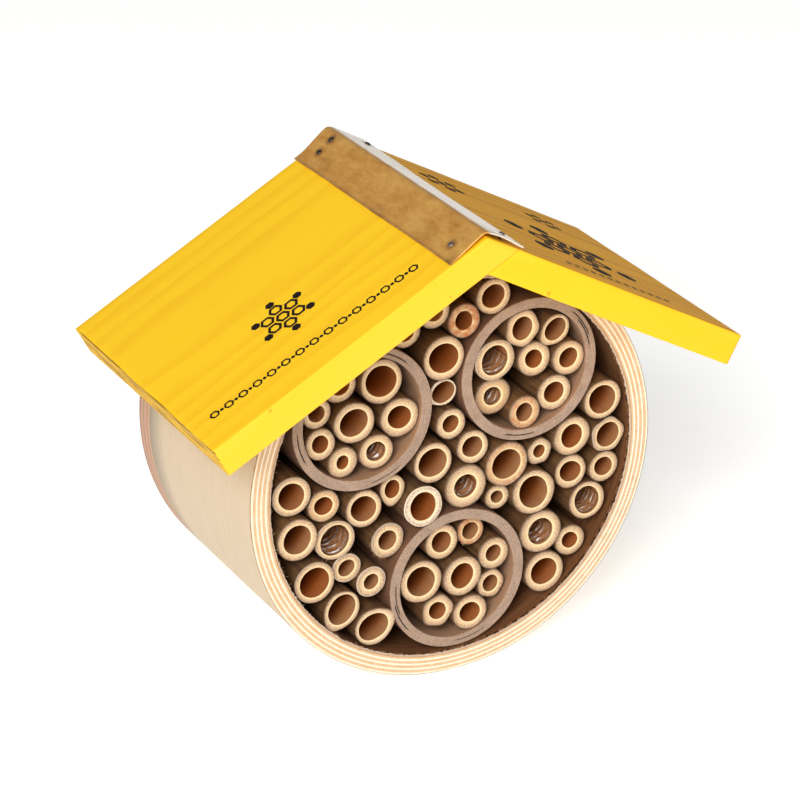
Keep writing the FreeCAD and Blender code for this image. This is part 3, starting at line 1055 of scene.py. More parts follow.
@dataclass(frozen=True)
class BoreFilm(Finish):
    """The thin skin that lines some bores, dried loose and glossy, with painted glints as near-white
    streaks.
    """

    # near-white for the painted glints
    pale: Colour = colour(255, 253, 248)
    tan: Colour = colour(176, 126, 84)
    brown: Colour = colour(122, 78, 48)

    def surface(self, g: Graph) -> dict[str, Any]:
        """Tan bands with painted glints: near-white streaks on the lower-left part of the arc.

        Args:
            g: The material's graph.

        Returns:
            Values and links for the Principled shader.
        """
        place = self.place(g)
        row, turn = g.attribute("row"), g.attribute("turn")
        cloud = g.noise(place, 420, 2.0)
        warp = g.noise(place, 260, 2.0) - 0.5
        bands = ((row * 0.15 + turn * 0.7 + warp * 1.1) * TAU).sine()
        # painted glints: the near-white streaks lie only on the first part of the arc, the lower left of the
        # bore
        streak = bands.eased(0.45, 0.95) * cloud.eased(0.36, 0.56) * turn.eased(1.0, 0.55)
        fine = g.noise(g.stretched(place, 700, 2600, 700), 1.0, 2.0)
        shade = g.blend((cloud * 0.8 + (fine - 0.5) * 0.8).clamped(), self.tan, self.brown)
        shade = g.blend(streak, shade, self.pale)
        return {
            "Base Color": shade,
            "Roughness": 0.22 - streak * 0.12 + fine * 0.1,
            "Coat Weight": 0.9,
            "Coat Roughness": 0.06,
            "Normal": g.bump(bands * 0.5 + cloud * 0.5, 0.25 * MM, 0.7),
        }


@dataclass(frozen=True)
class CaneFibre(Finish):
    """Loose fibres at sawn rims."""

    light: Colour = colour(222, 184, 126)
    dark: Colour = colour(160, 110, 60)

    def surface(self, g: Graph) -> dict[str, Any]:
        """Light and dark clouds.

        Args:
            g: The material's graph.

        Returns:
            Values and links for the Principled shader.
        """
        cloud = g.noise(self.place(g), 700, 2.0)
        shade = g.blend(cloud.eased(0.35, 0.65), self.light, self.dark)
        return {"Base Color": shade, "Roughness": 0.6 + cloud * 0.2}


@dataclass(frozen=True)
class PrintInk(Finish):
    """Matt dark ink, worn thin in places."""

    ink: Colour = colour(32, 23, 22)
    thin: Colour = colour(92, 66, 30)

    def surface(self, g: Graph) -> dict[str, Any]:
        """Ink that wears thin in spots.

        Args:
            g: The material's graph.

        Returns:
            Values and links for the Principled shader.
        """
        wear = g.noise(self.place(g), 1500, 3.0, 0.65)
        shade = g.blend(wear.eased(0.6, 0.76) * 0.7, self.ink, self.thin)
        return {"Base Color": shade, "Roughness": 0.6 + wear * 0.2, "Specular IOR Level": 0.12}


@dataclass(frozen=True)
class Backdrop(Finish):
    """Plain pale studio floor."""

    shade: Colour = colour(250, 250, 249)
    glow: float = 0.48

    def surface(self, g: Graph) -> dict[str, Any]:
        """Sockets of the shader, by name."""
        return {
            "Base Color": self.shade,
            "Roughness": 0.9,
            "Specular IOR Level": 0.1,
            "Emission Color": self.shade,
            "Emission Strength": self.glow,
        }


# ---- Geometry trees ----
@dataclass
class TubeTree:
    """Tree that makes a round tube along Y at each point of its input, from the numbers it carries.

    A grid is wrapped round the tube: down the bore's wall, over the sawn front end, along the
    outside and over the back end.
    """

    around: int
    bore_rows: int = 9
    end_rows: int = 10
    skin_rows: int = 9
    bore_crowding: float = 2.4
    skin_crowding: float = 2.2
    lip_share: float = 0.12
    deepest_cut: float = 2.5 * MM
    slits: tuple[tuple[str, float], ...] = (("split_a", 0.42), ("split_b", 0.60), ("split_c", 0.52))

    def build(self) -> GeometryGraph:
        """Writes the tree.

        Returns:
            The tree, which is run once for each group of tubes.
        """
        g = GeometryGraph("tubes")
        lip, uneven, grain = g.input("Lip"), g.input("Unevenness"), g.input("Saw roughness")
        flat, pitch = g.input("Flat distance"), g.input("Flat pitch")
        layers, step, fray = g.input("Layers"), g.input("Layer step"), g.input("Bore fray")
        split_depth = g.input("Split depth")
        rows = self.bore_rows + self.end_rows + self.skin_rows + 1
        shape = g.sheets(self.around, rows)
        row, seed = g.named("row"), g.named("seed")
        theta = g.named("turn") * -TAU
        side, up = theta.cosine(), theta.sine()
        end_from, skin_from = self.bore_rows, self.bore_rows + self.end_rows
        back_from = skin_from + self.skin_rows
        wall = ((row - end_from) / self.end_rows).clamped() - (row - back_from).clamped()
        inward = (1 - row / self.bore_rows).clamped() ** self.bore_crowding
        outside = ((row - skin_from) / self.skin_rows).clamped() ** self.skin_crowding
        deep = inward + outside

        # how far from the middle the bore and the outside are, in this direction
        ring = g.join(side, up, seed * 7.31)
        lumps = g.noise(ring, 1.3, 2.0) - 0.5
        lobes = g.noise(g.join(up, side, seed * 3.77 + 5.0), 1.1, 1.0) - 0.5
        fine = g.noise(g.join(side * 70, up * 70, seed + deep * 30), 1.0, 2.0, 0.7) - 0.5
        bore = g.named("bore") * (1 + g.named("bore_oval") * ((theta - g.named("bore_turn")) * 2).cosine())
        smooth_bore = bore + lobes * uneven * 0.9
        bore = smooth_bore + fine * fray * (1 - deep * 12).clamped()
        peak = (theta - g.named("keel_turn")).cosine().most(0.0) ** 9
        swell = g.named("oval") * ((theta - g.named("oval_turn")) * 2).cosine()
        swell = swell + g.named("keel") * (peak - 0.30)
        swell = swell + g.named("corners") * (theta * 5 + seed * 9).cosine()
        outer = g.named("outer") * (1 + swell) + lumps * uneven
        left_cut = flat / (theta - math.pi / 2 - pitch).cosine().most(0.01)
        right_cut = flat / (theta - math.pi / 2 + pitch).cosine().most(0.01)
        outer_cut = outer.least(left_cut).least(right_cut)
        radius = bore + (outer_cut - bore) * wall
        true_wall = ((radius - smooth_bore) / (outer - smooth_bore)).clamped()

        # how far the front end's face lies behind the plane of the cut
        crown = (1 - wall / self.lip_share).clamped() ** 2 + (1 - (1 - wall) / self.lip_share).clamped() ** 2
        end_spot = g.join(side * radius, up * radius, seed)
        saw = g.noise(end_spot, 900.0, 3.0, 0.65)
        tilt = (side * g.named("tilt_x") + up * g.named("tilt_z")) * radius
        ply = true_wall * layers
        joint = (abs(ply.fraction() - 0.5) * 2) ** 6
        # the nudge keeps both sides of the sheet's seam on one side of a whole number
        nudge = 0.01
        relief = step * (joint * 0.7 + (ply * 0.5 + nudge).fraction().eased(0.45, 0.55) * 0.5)
        slits = 0.0
        for name, share in self.slits:
            window = (theta - g.named(name)).cosine().eased(0.957, 0.985)
            wander = fine * 0.05 + share
            slits = slits + window * (1 - abs(true_wall - wander) / 0.075).clamped()
        slit = slits.clamped() * (wall.eased(0.02, 0.1) * wall.eased(0.98, 0.9)) * (split_depth > 0.0)
        face = (1 - deep * 400).clamped()
        depth = crown * lip * face + saw * grain * face
        depth = depth + (tilt + relief * face + slit * split_depth) * (1 - deep)
        centre_x, centre_y, centre_z = g.split(g.named("centre", "FLOAT_VECTOR"))
        length = g.named("length")
        spot = g.join(
            centre_x + side * radius,
            centre_y + depth.least(self.deepest_cut) + length * deep,
            centre_z + up * radius,
        )
        local = g.join(side * radius, length * deep, up * radius)
        kind = (row > end_from - 0.5) + (row > skin_from + 0.5)
        shape = g.store(shape, "wall", true_wall)
        shape = g.store(shape, "kind", kind)
        shape = g.store(shape, "split", slit)
        shape = g.store(shape, "local", local, "FLOAT_VECTOR")
        shape = g.node("GeometryNodeSetPosition", inputs={"Geometry": shape, "Position": spot})
        g.finish(shape)
        return g


@dataclass
class FilmTree:
    """Tree that makes the loose, rippled skin inside a bore, at each point of its input."""

    across: int = 30
    along: int = 34
    ripples: float = 5.0
    off_wall: float = 0.12 * MM
    least_inset: float = 0.4 * MM

    def build(self) -> GeometryGraph:
        """Writes the tree.

        Returns:
            The tree.
        """
        g = GeometryGraph("bore_film")
        curl, thickness = g.input("Curl"), g.input("Thickness")
        rows = self.along * 2 + 1
        shape = g.sheets(self.across, rows)
        row, turn, seed = g.named("row"), g.named("turn"), g.named("seed")
        back = row > self.along + 0.5
        share = (row / self.along) * (1 - back) + ((rows - row) / self.along) * back
        theta = g.named("start") + turn * g.named("arc")
        ends = 1 - (turn * math.pi).sine()
        wave = (share * self.ripples * TAU + turn * 5.0 + seed * 4.1).sine()
        crumple = g.noise(g.join(turn * 3.0, share * 7.0, seed), 1.0, 3.0, 0.6) - 0.5
        rise = (wave * 0.35 + crumple * 1.5 + 0.75) * curl * (1 - ends * 0.6)
        side_edge = (turn.eased(0.03, 0.0) + turn.eased(0.97, 1.0)).clamped()
        row_edge = (row < 0.5) + (row > rows - 0.5)
        half = thickness * 0.5 * (1 - side_edge) * (1 - row_edge)
        radius = g.named("bore") - self.off_wall - rise.most(0.05 * MM) + half * (1 - back * 2)
        ragged = g.noise(g.join(turn * 9.0, seed, 0.0), 1.0, 3.0) - 0.5
        x, y, z = g.split(g.named("centre", "FLOAT_VECTOR"))
        depth = g.named("inset") + share * g.named("length")
        depth = depth + ragged * 1.6 * MM * (1 - abs(share * 2 - 1) * 0.2)
        depth = depth.most(self.least_inset)
        spot = g.join(x + theta.cosine() * radius, y + depth, z + theta.sine() * radius)
        shape = g.node("GeometryNodeSetPosition", inputs={"Geometry": shape, "Position": spot})
        g.finish(shape)
        return g


@dataclass
class SetOutTree:
    """Tree that sets a made part out on points: each says which way the part aims and how large it is."""

    spin: float = 0.0
    spread: float = 0.0
    seed: int = 1

    def build(self) -> GeometryGraph:
        """Writes the tree.

        Returns:
            The tree.
        """
        g = GeometryGraph("set_out")
        part = g.input("Part", "NodeSocketObject")
        spin, spread, seed = g.input("Spin"), g.input("Size spread"), g.input("Seed", "NodeSocketInt")
        shape = g.node("GeometryNodeObjectInfo", inputs={"Object": part}, output="Geometry")
        aim = g.named("aim", "FLOAT_VECTOR")
        turn = g.node("FunctionNodeAlignRotationToVector", {"axis": "Z"}, {"Vector": aim})
        own_spin = g.join(0.0, 0.0, g.chance(-1.0, 1.0, seed) * spin)
        turn = g.node(
            "FunctionNodeRotateRotation",
            {"rotation_space": "LOCAL"},
            {"Rotation": turn, "Rotate By": g.node("FunctionNodeEulerToRotation", inputs={0: own_spin})},
        )
        size = g.named("size") * (1 + g.chance(-1.0, 1.0, seed) * spread)
        inputs = {"Points": g.points, "Instance": shape, "Rotation": turn, "Scale": g.join(size, size, size)}
        g.finish(g.node("GeometryNodeInstanceOnPoints", inputs=inputs), 1e-7)
        return g

    def copies(
        self, name: str, part: bpy.types.Mesh, points: bpy.types.Mesh, material: bpy.types.Material
    ) -> bpy.types.Mesh:
        """Copies a part onto points.

        Args:
            name: Name of the mesh that comes out.
            part: The part, round the origin and facing +Z.
            points: The points, each with its "aim" and "size".
            material: Material of the copies.

        Returns:
            The mesh of them all.
        """
        holder = bpy.data.objects.new(name, part)
        settings = {
            "Part": holder,
            "Spin": self.spin,
            "Size spread": self.spread,
            "Seed": self.seed,
            "Material": material,
        }
        mesh = self.build().run(name, points, settings)
        bpy.data.objects.remove(holder)
        return mesh


@dataclass
class FrayTree:
    """Tree that stands loose fibres round the rims that its points describe."""

    def build(self) -> GeometryGraph:
        """Writes the tree.

        Returns:
            The tree.
        """
        g = GeometryGraph("frayed_rims")
        fibre = g.input("Fibre", "NodeSocketObject")
        seed, lean = g.input("Seed", "NodeSocketInt"), g.input("Lean")
        inputs = {"Geometry": g.points, "Amount": g.named("frays", "INT")}
        shape = g.node("GeometryNodeDuplicateElements", {"domain": "POINT"}, inputs)
        theta = g.named("fray_from") + g.chance(0.0, 1.0, seed) * g.named("fray_arc")
        side, up = theta.cosine(), theta.sine()
        x, y, z = g.split(g.named("centre", "FLOAT_VECTOR"))
        radius = g.named("rim") + g.chance(-0.25 * MM, 0.05 * MM, seed + 1)
        spot = g.join(x + side * radius, y + g.chance(0.0, 0.5 * MM, seed + 2), z + up * radius)
        shape = g.node("GeometryNodeSetPosition", inputs={"Geometry": shape, "Position": spot})
        way = g.named("way")
        wobble = g.chance(-1.0, 1.0, seed + 3)
        out = g.join(side * way + wobble * up * lean, wobble * 0.5 - 0.5, up * way - wobble * side * lean)
        turn = g.node("FunctionNodeAlignRotationToVector", {"axis": "Z"}, {"Vector": out})
        size = g.chance(0.35, 1.0, seed + 4)
        stand = {
            "Points": shape,
            "Instance": g.node("GeometryNodeObjectInfo", inputs={"Object": fibre}, output="Geometry"),
            "Rotation": turn,
            "Scale": g.join(1.0, 1.0, size),
        }
        g.finish(g.node("GeometryNodeInstanceOnPoints", inputs=stand), 1e-8)
        return g


def turned_part(name: str, profile: Sequence[tuple[float, float]], around: int) -> bpy.types.Mesh:
    """A closed solid turned about Z from its profile.

    Args:
        name: Name of the mesh.
        profile: (radius, height) of its points. Both end radii are 0, or it ends where it starts.
        around: Steps round the axis.

    Returns:
        The mesh.
    """
    rows = [
        [Vector((r * math.cos(TAU * n / around), r * math.sin(TAU * n / around), h)) for n in range(around)]
        for r, h in profile
    ]
    return tidied(sheet_mesh(name, rows, closed=True), turn_out=True)


# ---- Sub-assemblies ----
@dataclass
class RoofBoard:
    """One roof board, measured from its CAD node."""

    side: int
    node: str
    spots: tuple[tuple[float, float, float], ...] = ()
    edge: float = 0.55 * MM
    unevenness: float = 0.10 * MM
    sections: int = 60
    pitch: float = field(init=False)
    thickness: float = field(init=False)
    length: float = field(init=False)
    ridge_z: float = field(init=False)
    depth: float = field(init=False)
    ridge_ends: tuple[float, float] = field(init=False)

    def __post_init__(self) -> None:
        """Measures the board's outline at its front face."""
        low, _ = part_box(self.node)
        places = [vert.co.copy() for vert in bpy.data.objects[self.node].data.vertices]
        corners = [place for place in places if place.y < low.y + 0.01 * MM]
        eave = max(corners, key=lambda point: point.x * self.side)
        foot = min(corners, key=lambda point: point.z)
        self.thickness = (eave - foot).length
        self.pitch = math.atan2(abs(eave.x - foot.x), eave.z - foot.z)
        self.depth = -low.y
        self.length = abs(eave.x) / math.cos(self.pitch)
        self.ridge_z = eave.z + self.length * math.sin(self.pitch)
        shares = [self.measure(point) for point in corners]
        top = min(down for down, under in shares if under < 0.3 * self.thickness)
        bottom = min(down for down, under in shares if under > self.thickness - 0.01 * MM)
        if self.side < 0:
            top = 0.0
        self.ridge_ends = (top, bottom)

    def measure(self, point: Vector) -> tuple[float, float]:
        """How far down the slope from the ridge a point is, and how far under the top face."""
        x, z = point.x * self.side, point.z - self.ridge_z
        return (
            x * math.cos(self.pitch) - z * math.sin(self.pitch),
            -x * math.sin(self.pitch) - z * math.cos(self.pitch),
        )

    def point(self, down: float, under: float, y: float) -> Vector:
        """A point of the board.

        Args:
            down: Distance down the slope from the ridge.
            under: Distance under the top face.
            y: Its place along the drum's axis.

        Returns:
            The point.
        """
        x = down * math.cos(self.pitch) - under * math.sin(self.pitch)
        z = self.ridge_z - down * math.sin(self.pitch) - under * math.cos(self.pitch)
        return Vector((self.side * x, y, z))

    def normal(self) -> Vector:
        """Out of the top face."""
        return Vector((self.side * math.sin(self.pitch), 0, math.cos(self.pitch)))

    def loop(self) -> list[tuple[float, float]]:
        """The board's cross-section, its corners broken.

        Returns:
            (depth behind the front, distance under the top) of each point, in turn.
        """
        long_steps, short_steps, corner_steps = 48, 8, 3
        r = self.edge
        corners = (
            (r, r, math.pi, 1.5 * math.pi),
            (self.depth - r, r, 1.5 * math.pi, TAU),
            (self.depth - r, self.thickness - r, 0.0, 0.5 * math.pi),
            (r, self.thickness - r, 0.5 * math.pi, math.pi),
        )
        rounds = []
        for y, t, start, stop in corners:
            angles = [start + (stop - start) * n / corner_steps for n in range(corner_steps + 1)]
            rounds.append([(y + r * math.cos(a), t + r * math.sin(a)) for a in angles])
        path = []
        for number, arc in enumerate(rounds):
            path += arc
            steps = long_steps if number % 2 == 0 else short_steps
            (y0, t0), (y1, t1) = arc[-1], rounds[(number + 1) % 4][0]
            path += [(y0 + (y1 - y0) * n / steps, t0 + (t1 - t0) * n / steps) for n in range(1, steps)]
        return path

    def build(self) -> bpy.types.Mesh:
        """Lofts the board from its ridge end to its eave.

        Returns:
            The mesh.
        """
        loop = self.loop()
        top, bottom = self.ridge_ends
        spine = self.thickness / 2
        shrink = (1.0, 0.8, 0.55, 0.3, 0.12, 0.04)
        tip = 0.12 * MM

        def ring(inset: float, share: float, back: float) -> list[Vector]:
            """One ring of points round the board.

            Args:
                inset: How far it is drawn in towards the middle of the thickness, as a share.
                share: How far along the board it is, as a share.
                back: How much further down the slope than that.

            Returns:
                Its points.
            """
            made = []
            for y, t in loop:
                middle_y = min(max(y, spine), self.depth - spine)
                y, t = y + (middle_y - y) * inset, t + (spine - t) * inset
                start = top + (bottom - top) * t / self.thickness
                down = start + (self.length - start) * share + back
                made.append(self.weathered(down, t, y - self.depth))
            return made

        rows = [ring(inset, 0.0, tip * (1 - min(1.0, inset * 8))) for inset in shrink]
        rows += [ring(0.0, 0.0, 0.3 * MM)]
        rows += [ring(0.0, n / self.sections, 0.0) for n in range(1, self.sections)]
        rows += [ring(0.0, 1.0, -0.5 * MM), ring(0.015, 1.0, -0.18 * MM)]
        rows += [ring(inset, 1.0, 0.0) for inset in reversed(shrink)]
        return tidied(sheet_mesh(self.node, rows, closed=True), turn_out=True)

    def weathered(self, down: float, under: float, y: float) -> Vector:
        """A point of the board, moved a little as planed and handled wood is.

        Args:
            down: Distance down the slope from the ridge.
            under: Distance under the top face.
            y: Its place along the drum's axis.

        Returns:
            The moved point.
        """
        spot = self.point(down, under, y)
        away = Vector((self.side * 3.0, 0, 0))
        slow = noise.noise_vector(spot * 38 + away) * self.unevenness
        quick = noise.noise_vector(spot * 260 + away) * self.unevenness * 0.35
        if down > self.length - 0.4 * MM:
            quick += noise.noise_vector(spot * 900 + away) * self.unevenness * 0.7
        shift = slow + quick
        shift.y *= 0.6
        return spot + shift

    def dress(self) -> bpy.types.Object:
        """Builds the board as a finished piece.

        Returns:
            The piece.
        """
        finish = StainedPine(
            f"stained_pine_{self.node}",
            self.side,
            self.pitch,
            self.ridge_z,
            self.length,
            front=-self.depth,
            spots=tuple((down * MM, -under * MM, size * MM) for down, under, size in self.spots),
        )
        if self.side > 0:
            # the right board's top is in shade, so its colours are painted darker and more orange
            finish = replace(finish, gloss=0.1, painted_shade_top=(colour(255, 184, 26), colour(214, 138, 8)))
        mesh = self.build()
        mesh.materials.append(finish.material())
        return show(f"{self.node}_pine", mesh, HOUSE, [self.node])


@dataclass
class RidgeCap:
    """Thin brass sheet folded over the ridge: a soft bend, a front end that stands off the boards, dents."""

    board: RoofBoard
    leg: float = 16.3 * MM
    sheet: float = 0.55 * MM
    bend: float = 1.2 * MM
    peak: float = 1.55 * MM
    reach: float = 11.5 * MM
    fold_off: tuple[float, float] = (1.0 * MM, 2.5 * MM)
    shift: tuple[float, float] = (0.4 * MM, 1.8 * MM)
    clearance: float = 0.08 * MM
    blend: float = 0.7 * MM
    curl: float = 0.50 * MM
    curl_reach: float = 15 * MM
    lift: float = 0.35 * MM
    lift_reach: float = 30 * MM
    ripple: float = 0.10 * MM
    ripple_length: float = 13 * MM
    set_back: float = 0.25 * MM
    edge_waver: float = 0.16 * MM
    across: int = 64
    along: int = 110
    dents: tuple[tuple[float, float, float, float], ...] = (
        (-10.0, 12.5, 3.0, 0.45),
        (-6.0, 10.0, 4.0, 0.35),
        (-5.0, 110.5, 2.6, 0.6),
        (9.5, 109.0, 3.0, 0.35),
        (12.0, 14.0, 3.0, 0.3),
        (-3.0, 52.0, 6.0, 0.22),
        (5.0, 78.0, 7.0, 0.22),
    )

    def height(self, across: float, back: float) -> float:
        """How far the sheet's underside stands over the level of the ridge.

        Args:
            across: Distance down the slope from the ridge, less than 0 on the left.
            back: Distance behind the front end.

        Returns:
            The height, which is less than 0 down the slopes.
        """
        steep = math.sin(self.board.pitch)
        share = back / self.board.depth
        fold = -self.fold_off[0] - (self.fold_off[1] - self.fold_off[0]) * share
        arm = self.reach + fold if across < fold else self.reach - fold
        fall = (self.peak + self.reach * steep) / arm
        own = self.peak - fall * (math.hypot(across - fold, self.bend) - self.bend)
        resting = self.clearance - abs(across) * steep
        rise = (own + resting + math.hypot(own - resting, self.blend)) / 2
        near = math.exp(-((back / self.curl_reach) ** 2))
        away = abs(across)
        if across > 0:
            wave = 0.5 + 0.5 * math.sin(away / self.leg * 5.2 - 0.6)
            rise += self.curl * near * wave * min(1.0, away / (4 * MM))
            rise += self.lift * math.exp(-((back / self.lift_reach) ** 2)) * (away / self.leg)
        return rise + self.ripple * (1 + math.sin(back / self.ripple_length)) * (away / self.leg) ** 2

    def point(self, across: float, back: float) -> Vector:
        """A point of the sheet's underside.

        Args:
            across: As in height().
            back: As in height().

        Returns:
            The point, with the sheet's wrinkles and dents.
        """
        board = self.board
        spot = Vector((across, -board.depth + back, 0)) * 55
        wrinkle = noise.noise(spot) * 0.10 * MM + noise.noise(spot * 3.1) * 0.04 * MM
        dent = 0.0
        for down, behind, reach, depth in self.dents:
            away = math.hypot(across / MM - down, back / MM - behind) / reach
            dent += depth * MM * (math.exp(-away * away * 2.2) - 0.35 * math.exp(-((away - 1.1) ** 2) * 6))
        rise = self.height(across, back) + wrinkle + 0.06 * MM - dent * 0.6
        rise = max(rise, 0.04 * MM - abs(across) * math.sin(board.pitch))
        return Vector((across * math.cos(board.pitch), -board.depth + back, board.ridge_z + rise))

    def build(self) -> bpy.types.Mesh:
        """Makes the sheet and gives it its thickness.

        Returns:
            The mesh, with "across", the distance from the ridge, on its points.
        """
        board = self.board
        rows = []
        spread = []
        for n in range(self.across + 1):
            across = self.leg * (2 * n / self.across - 1)
            row = []
            for m in range(self.along + 1):
                share = m / self.along
                waist = 1 - (2 * share - 1) ** 2
                front = self.set_back + max(0.0, self.set_back * math.sin(across / self.leg * 3.4))
                rear = 0.15 * MM * max(0.0, math.sin(across / self.leg * 2.6))
                back = front + (board.depth - front - rear) * share
                waver = self.edge_waver * noise.noise(Vector((share * 9, across * 50, 2.0)))
                waver = waver * abs(across) / self.leg
                moved = self.shift[0] + (self.shift[1] - self.shift[0]) * share
                reach = across * (1 - 0.012 * waist) + math.copysign(waver, across) - moved
                row.append(self.point(reach, back))
                spread.append(across)
            rows.append(row)
        mesh = sheet_mesh("ridge_cap", rows)
        store_numbers(mesh, "across", spread)
        mesh.flip_normals()
        solid = {"thickness": self.sheet, "offset": 1.0, "use_even_offset": True}
        bevel = {"width": 0.14 * MM, "segments": 2, "limit_method": "ANGLE", "angle_limit": math.radians(50)}
        mesh = worked(mesh, ("SOLIDIFY", solid), ("BEVEL", bevel))
        mesh.shade_smooth()
        return mesh

    def dress(self) -> bpy.types.Object:
        """Builds the cap as a finished piece.

        Returns:
            The piece.
        """
        mesh = self.build()
        marks = tuple(tuple(seat) for seat, _ in self.pin_seats())
        mesh.materials.append(AgedBrass("aged_brass_sheet", leg=self.leg, marks=marks).material())
        return show("ridge_cap_sheet", mesh, HOUSE, ["ridge_cap"])

    def pin_seats(self) -> list[tuple[Vector, Vector]]:
        """Where the CAD's pins come through the sheet.

        Returns:
            Each pin's seat on the sheet's outer face, and the way out of it.
        """
        seats = []
        for solid in islands("ridge_pins"):
            head = max(solid, key=lambda point: point.z)
            side = 1 if head.x > 0 else -1
            out = Vector((side * math.sin(self.board.pitch), 0, math.cos(self.board.pitch)))
            ring = [point for point in solid if (point - head).dot(out) > -0.25 * MM]
            axis = sum(ring, Vector()) / len(ring)
            across = side * (abs(axis.x) / math.cos(self.board.pitch))
            seat = self.point(across, middle(solid).y + self.board.depth)
            seats.append((seat + out * (self.sheet + 0.02 * MM), out))
        return seats


@dataclass
class Fixings:
    """Pins, nails, screws and the hanger: everything of steel."""

    steel: bpy.types.Material
    pin_steel: bpy.types.Material
    cap: RidgeCap
    pin_profile: tuple[tuple[float, float], ...] = (
        (0.0, -4.0), (0.42, -3.8), (0.5, -0.2), (1.0, -0.15), (1.12, 0.05), (1.1, 0.22), (0.95, 0.42),
        (0.68, 0.56), (0.34, 0.62), (0.0, 0.63),
    )
    nail_profile: tuple[tuple[float, float], ...] = (
        (0.0, -24.0), (0.3, -22.8), (0.7, -21.0), (0.7, -1.4), (1.0, -1.0), (1.5, -0.75), (1.6, -0.5),
        (1.58, -0.16), (1.4, -0.04), (1.1, -0.10), (0.8, -0.03), (0.4, -0.07), (0.0, -0.03),
    )

    def set_out(
        self,
        name: str,
        profile: Sequence[tuple[float, float]],
        seats: Sequence[Vector],
        aims: Sequence[Vector],
        steel: bpy.types.Material,
    ) -> bpy.types.Mesh:
        """Copies a turned part onto its seats.

        Args:
            name: Name of the mesh.
            profile: The part's (radius, height) in millimetres.
            seats: Where each one's origin goes.
            aims: Which way each one's head faces.
            steel: Their material.

        Returns:
            The mesh of them all.
        """
        part = turned_part(name, [(radius * MM, height * MM) for radius, height in profile], 28)
        points = points_mesh(name, seats, aim=aims, size=[1.0] * len(seats))
        return SetOutTree(spin=3.0, spread=0.03, seed=11).copies(name, part, points, steel)

    def pins(self) -> bpy.types.Object:
        """The cap's pins, each seated on the sheet where the CAD has it.

        Returns:
            The piece.
        """
        seats, aims = zip(*self.cap.pin_seats())
        mesh = self.set_out("ridge_pin_heads", self.pin_profile, seats, aims, self.pin_steel)
        return show("ridge_pin_heads", mesh, HOUSE, ["ridge_pins"])

    def nails(self) -> bpy.types.Object:
        """The nails round the back panel.

        Returns:
            The piece.
        """
        seats = []
        for solid in islands("back_nails"):
            seat = middle(solid)
            seat.y = max(point.y for point in solid)
            seats.append(seat)
        aims = [Vector((0, 1, 0))] * len(seats)
        mesh = self.set_out("back_nail_heads", self.nail_profile, seats, aims, self.steel)
        return show("back_nail_ring", mesh, HOUSE, ["back_nails"])

    def plate(self) -> bpy.types.Object:
        """The keyhole hanger."""
        mesh = softened("hanger_plate", 0.18 * MM, self.steel)
        return show("hanger_keyhole_plate", mesh, HOUSE, ["hanger_plate"])

    def screws(self) -> bpy.types.Object:
        """The hanger's two screws."""
        mesh = softened("hanger_screws", 0.07 * MM, self.steel)
        return show("hanger_cross_screws", mesh, HOUSE, ["hanger_screws"])

    def brads(self, frame: dict[str, Any]) -> None:
        """Gives the hidden brads, which keep their CAD shape, the steel.
        """
        for slot in frame["nodes"]["ridge_brads"].material_slots:
            slot.material = self.steel


def tube_numbers(node: str) -> dict[str, Any]:
    """Sizes of the tube that a CAD node is, as tube_of() gives them."""
    return tube_of([vert.co for vert in bpy.data.objects[node].data.vertices])


def tube_of(points: Sequence[Vector]) -> dict[str, Any]:
    """Sizes of the tube along Y that these points lie on.

    Args:
        points: Its mesh's points.

    Returns:
        Its front centre, radii and length.
    """
    centre = middle(points)
    reach = [math.hypot(point.x - centre.x, point.z - centre.z) for point in points]
    front, back = min(point.y for point in points), max(point.y for point in points)
    return {
        "centre": Vector((centre.x, front, centre.z)),
        "outer": max(reach),
        "bore": min(reach),
        "length": back - front,
    }


# What the tube tree reads of a tube that is round, even and cut square
EVEN = dict.fromkeys(("oval", "oval_turn", "bore_oval", "bore_turn", "keel", "keel_turn", "corners"), 0.0)
EVEN |= dict.fromkeys(("tilt_x", "tilt_z", "split_a", "split_b", "split_c"), 0.0)

# The tube tree's inputs for tubes of one layer, whole and cut by no flat
WHOLE = {"Flat distance": 1.0, "Flat pitch": 0.5, "Layers": 1.0, "Layer step": 0.0, "Split depth": 0.0}


def tube_points(name: str, rows: Sequence[dict[str, Any]]) -> bpy.types.Mesh:
    """The points that the tube tree runs on.

    Args:
        name: Name of the mesh.
        rows: Each tube's "centre", and those of its numbers that aren't 0.

    Returns:
        The mesh.
    """
    rows = [EVEN | row for row in rows]
    columns = {key: [float(row[key]) for row in rows] for key in rows[0] if key != "centre"}
    return points_mesh(name, [row["centre"] for row in rows], **columns)


class Outline(Enum):
    """Outline of a cane's end."""

    ROUND = "round"
    ANGULAR = "angular"
    TEARDROP = "teardrop"


class Lining(Enum):
    """What a cane's bore shows."""

    BARE = "bare"
    FILM = "film"


@dataclass(frozen=True)
class Trait:
    """What sets one cane apart, found by where it stands, in millimetres from the drum's axis."""

    x: float
    z: float
    outline: Outline = Outline.ROUND
    turn: float = 0.0
    lining: Lining = Lining.BARE
    tone: float = 0.5
    stain: float = 0.0
    grey: float = 0.0
    frays: int = 0


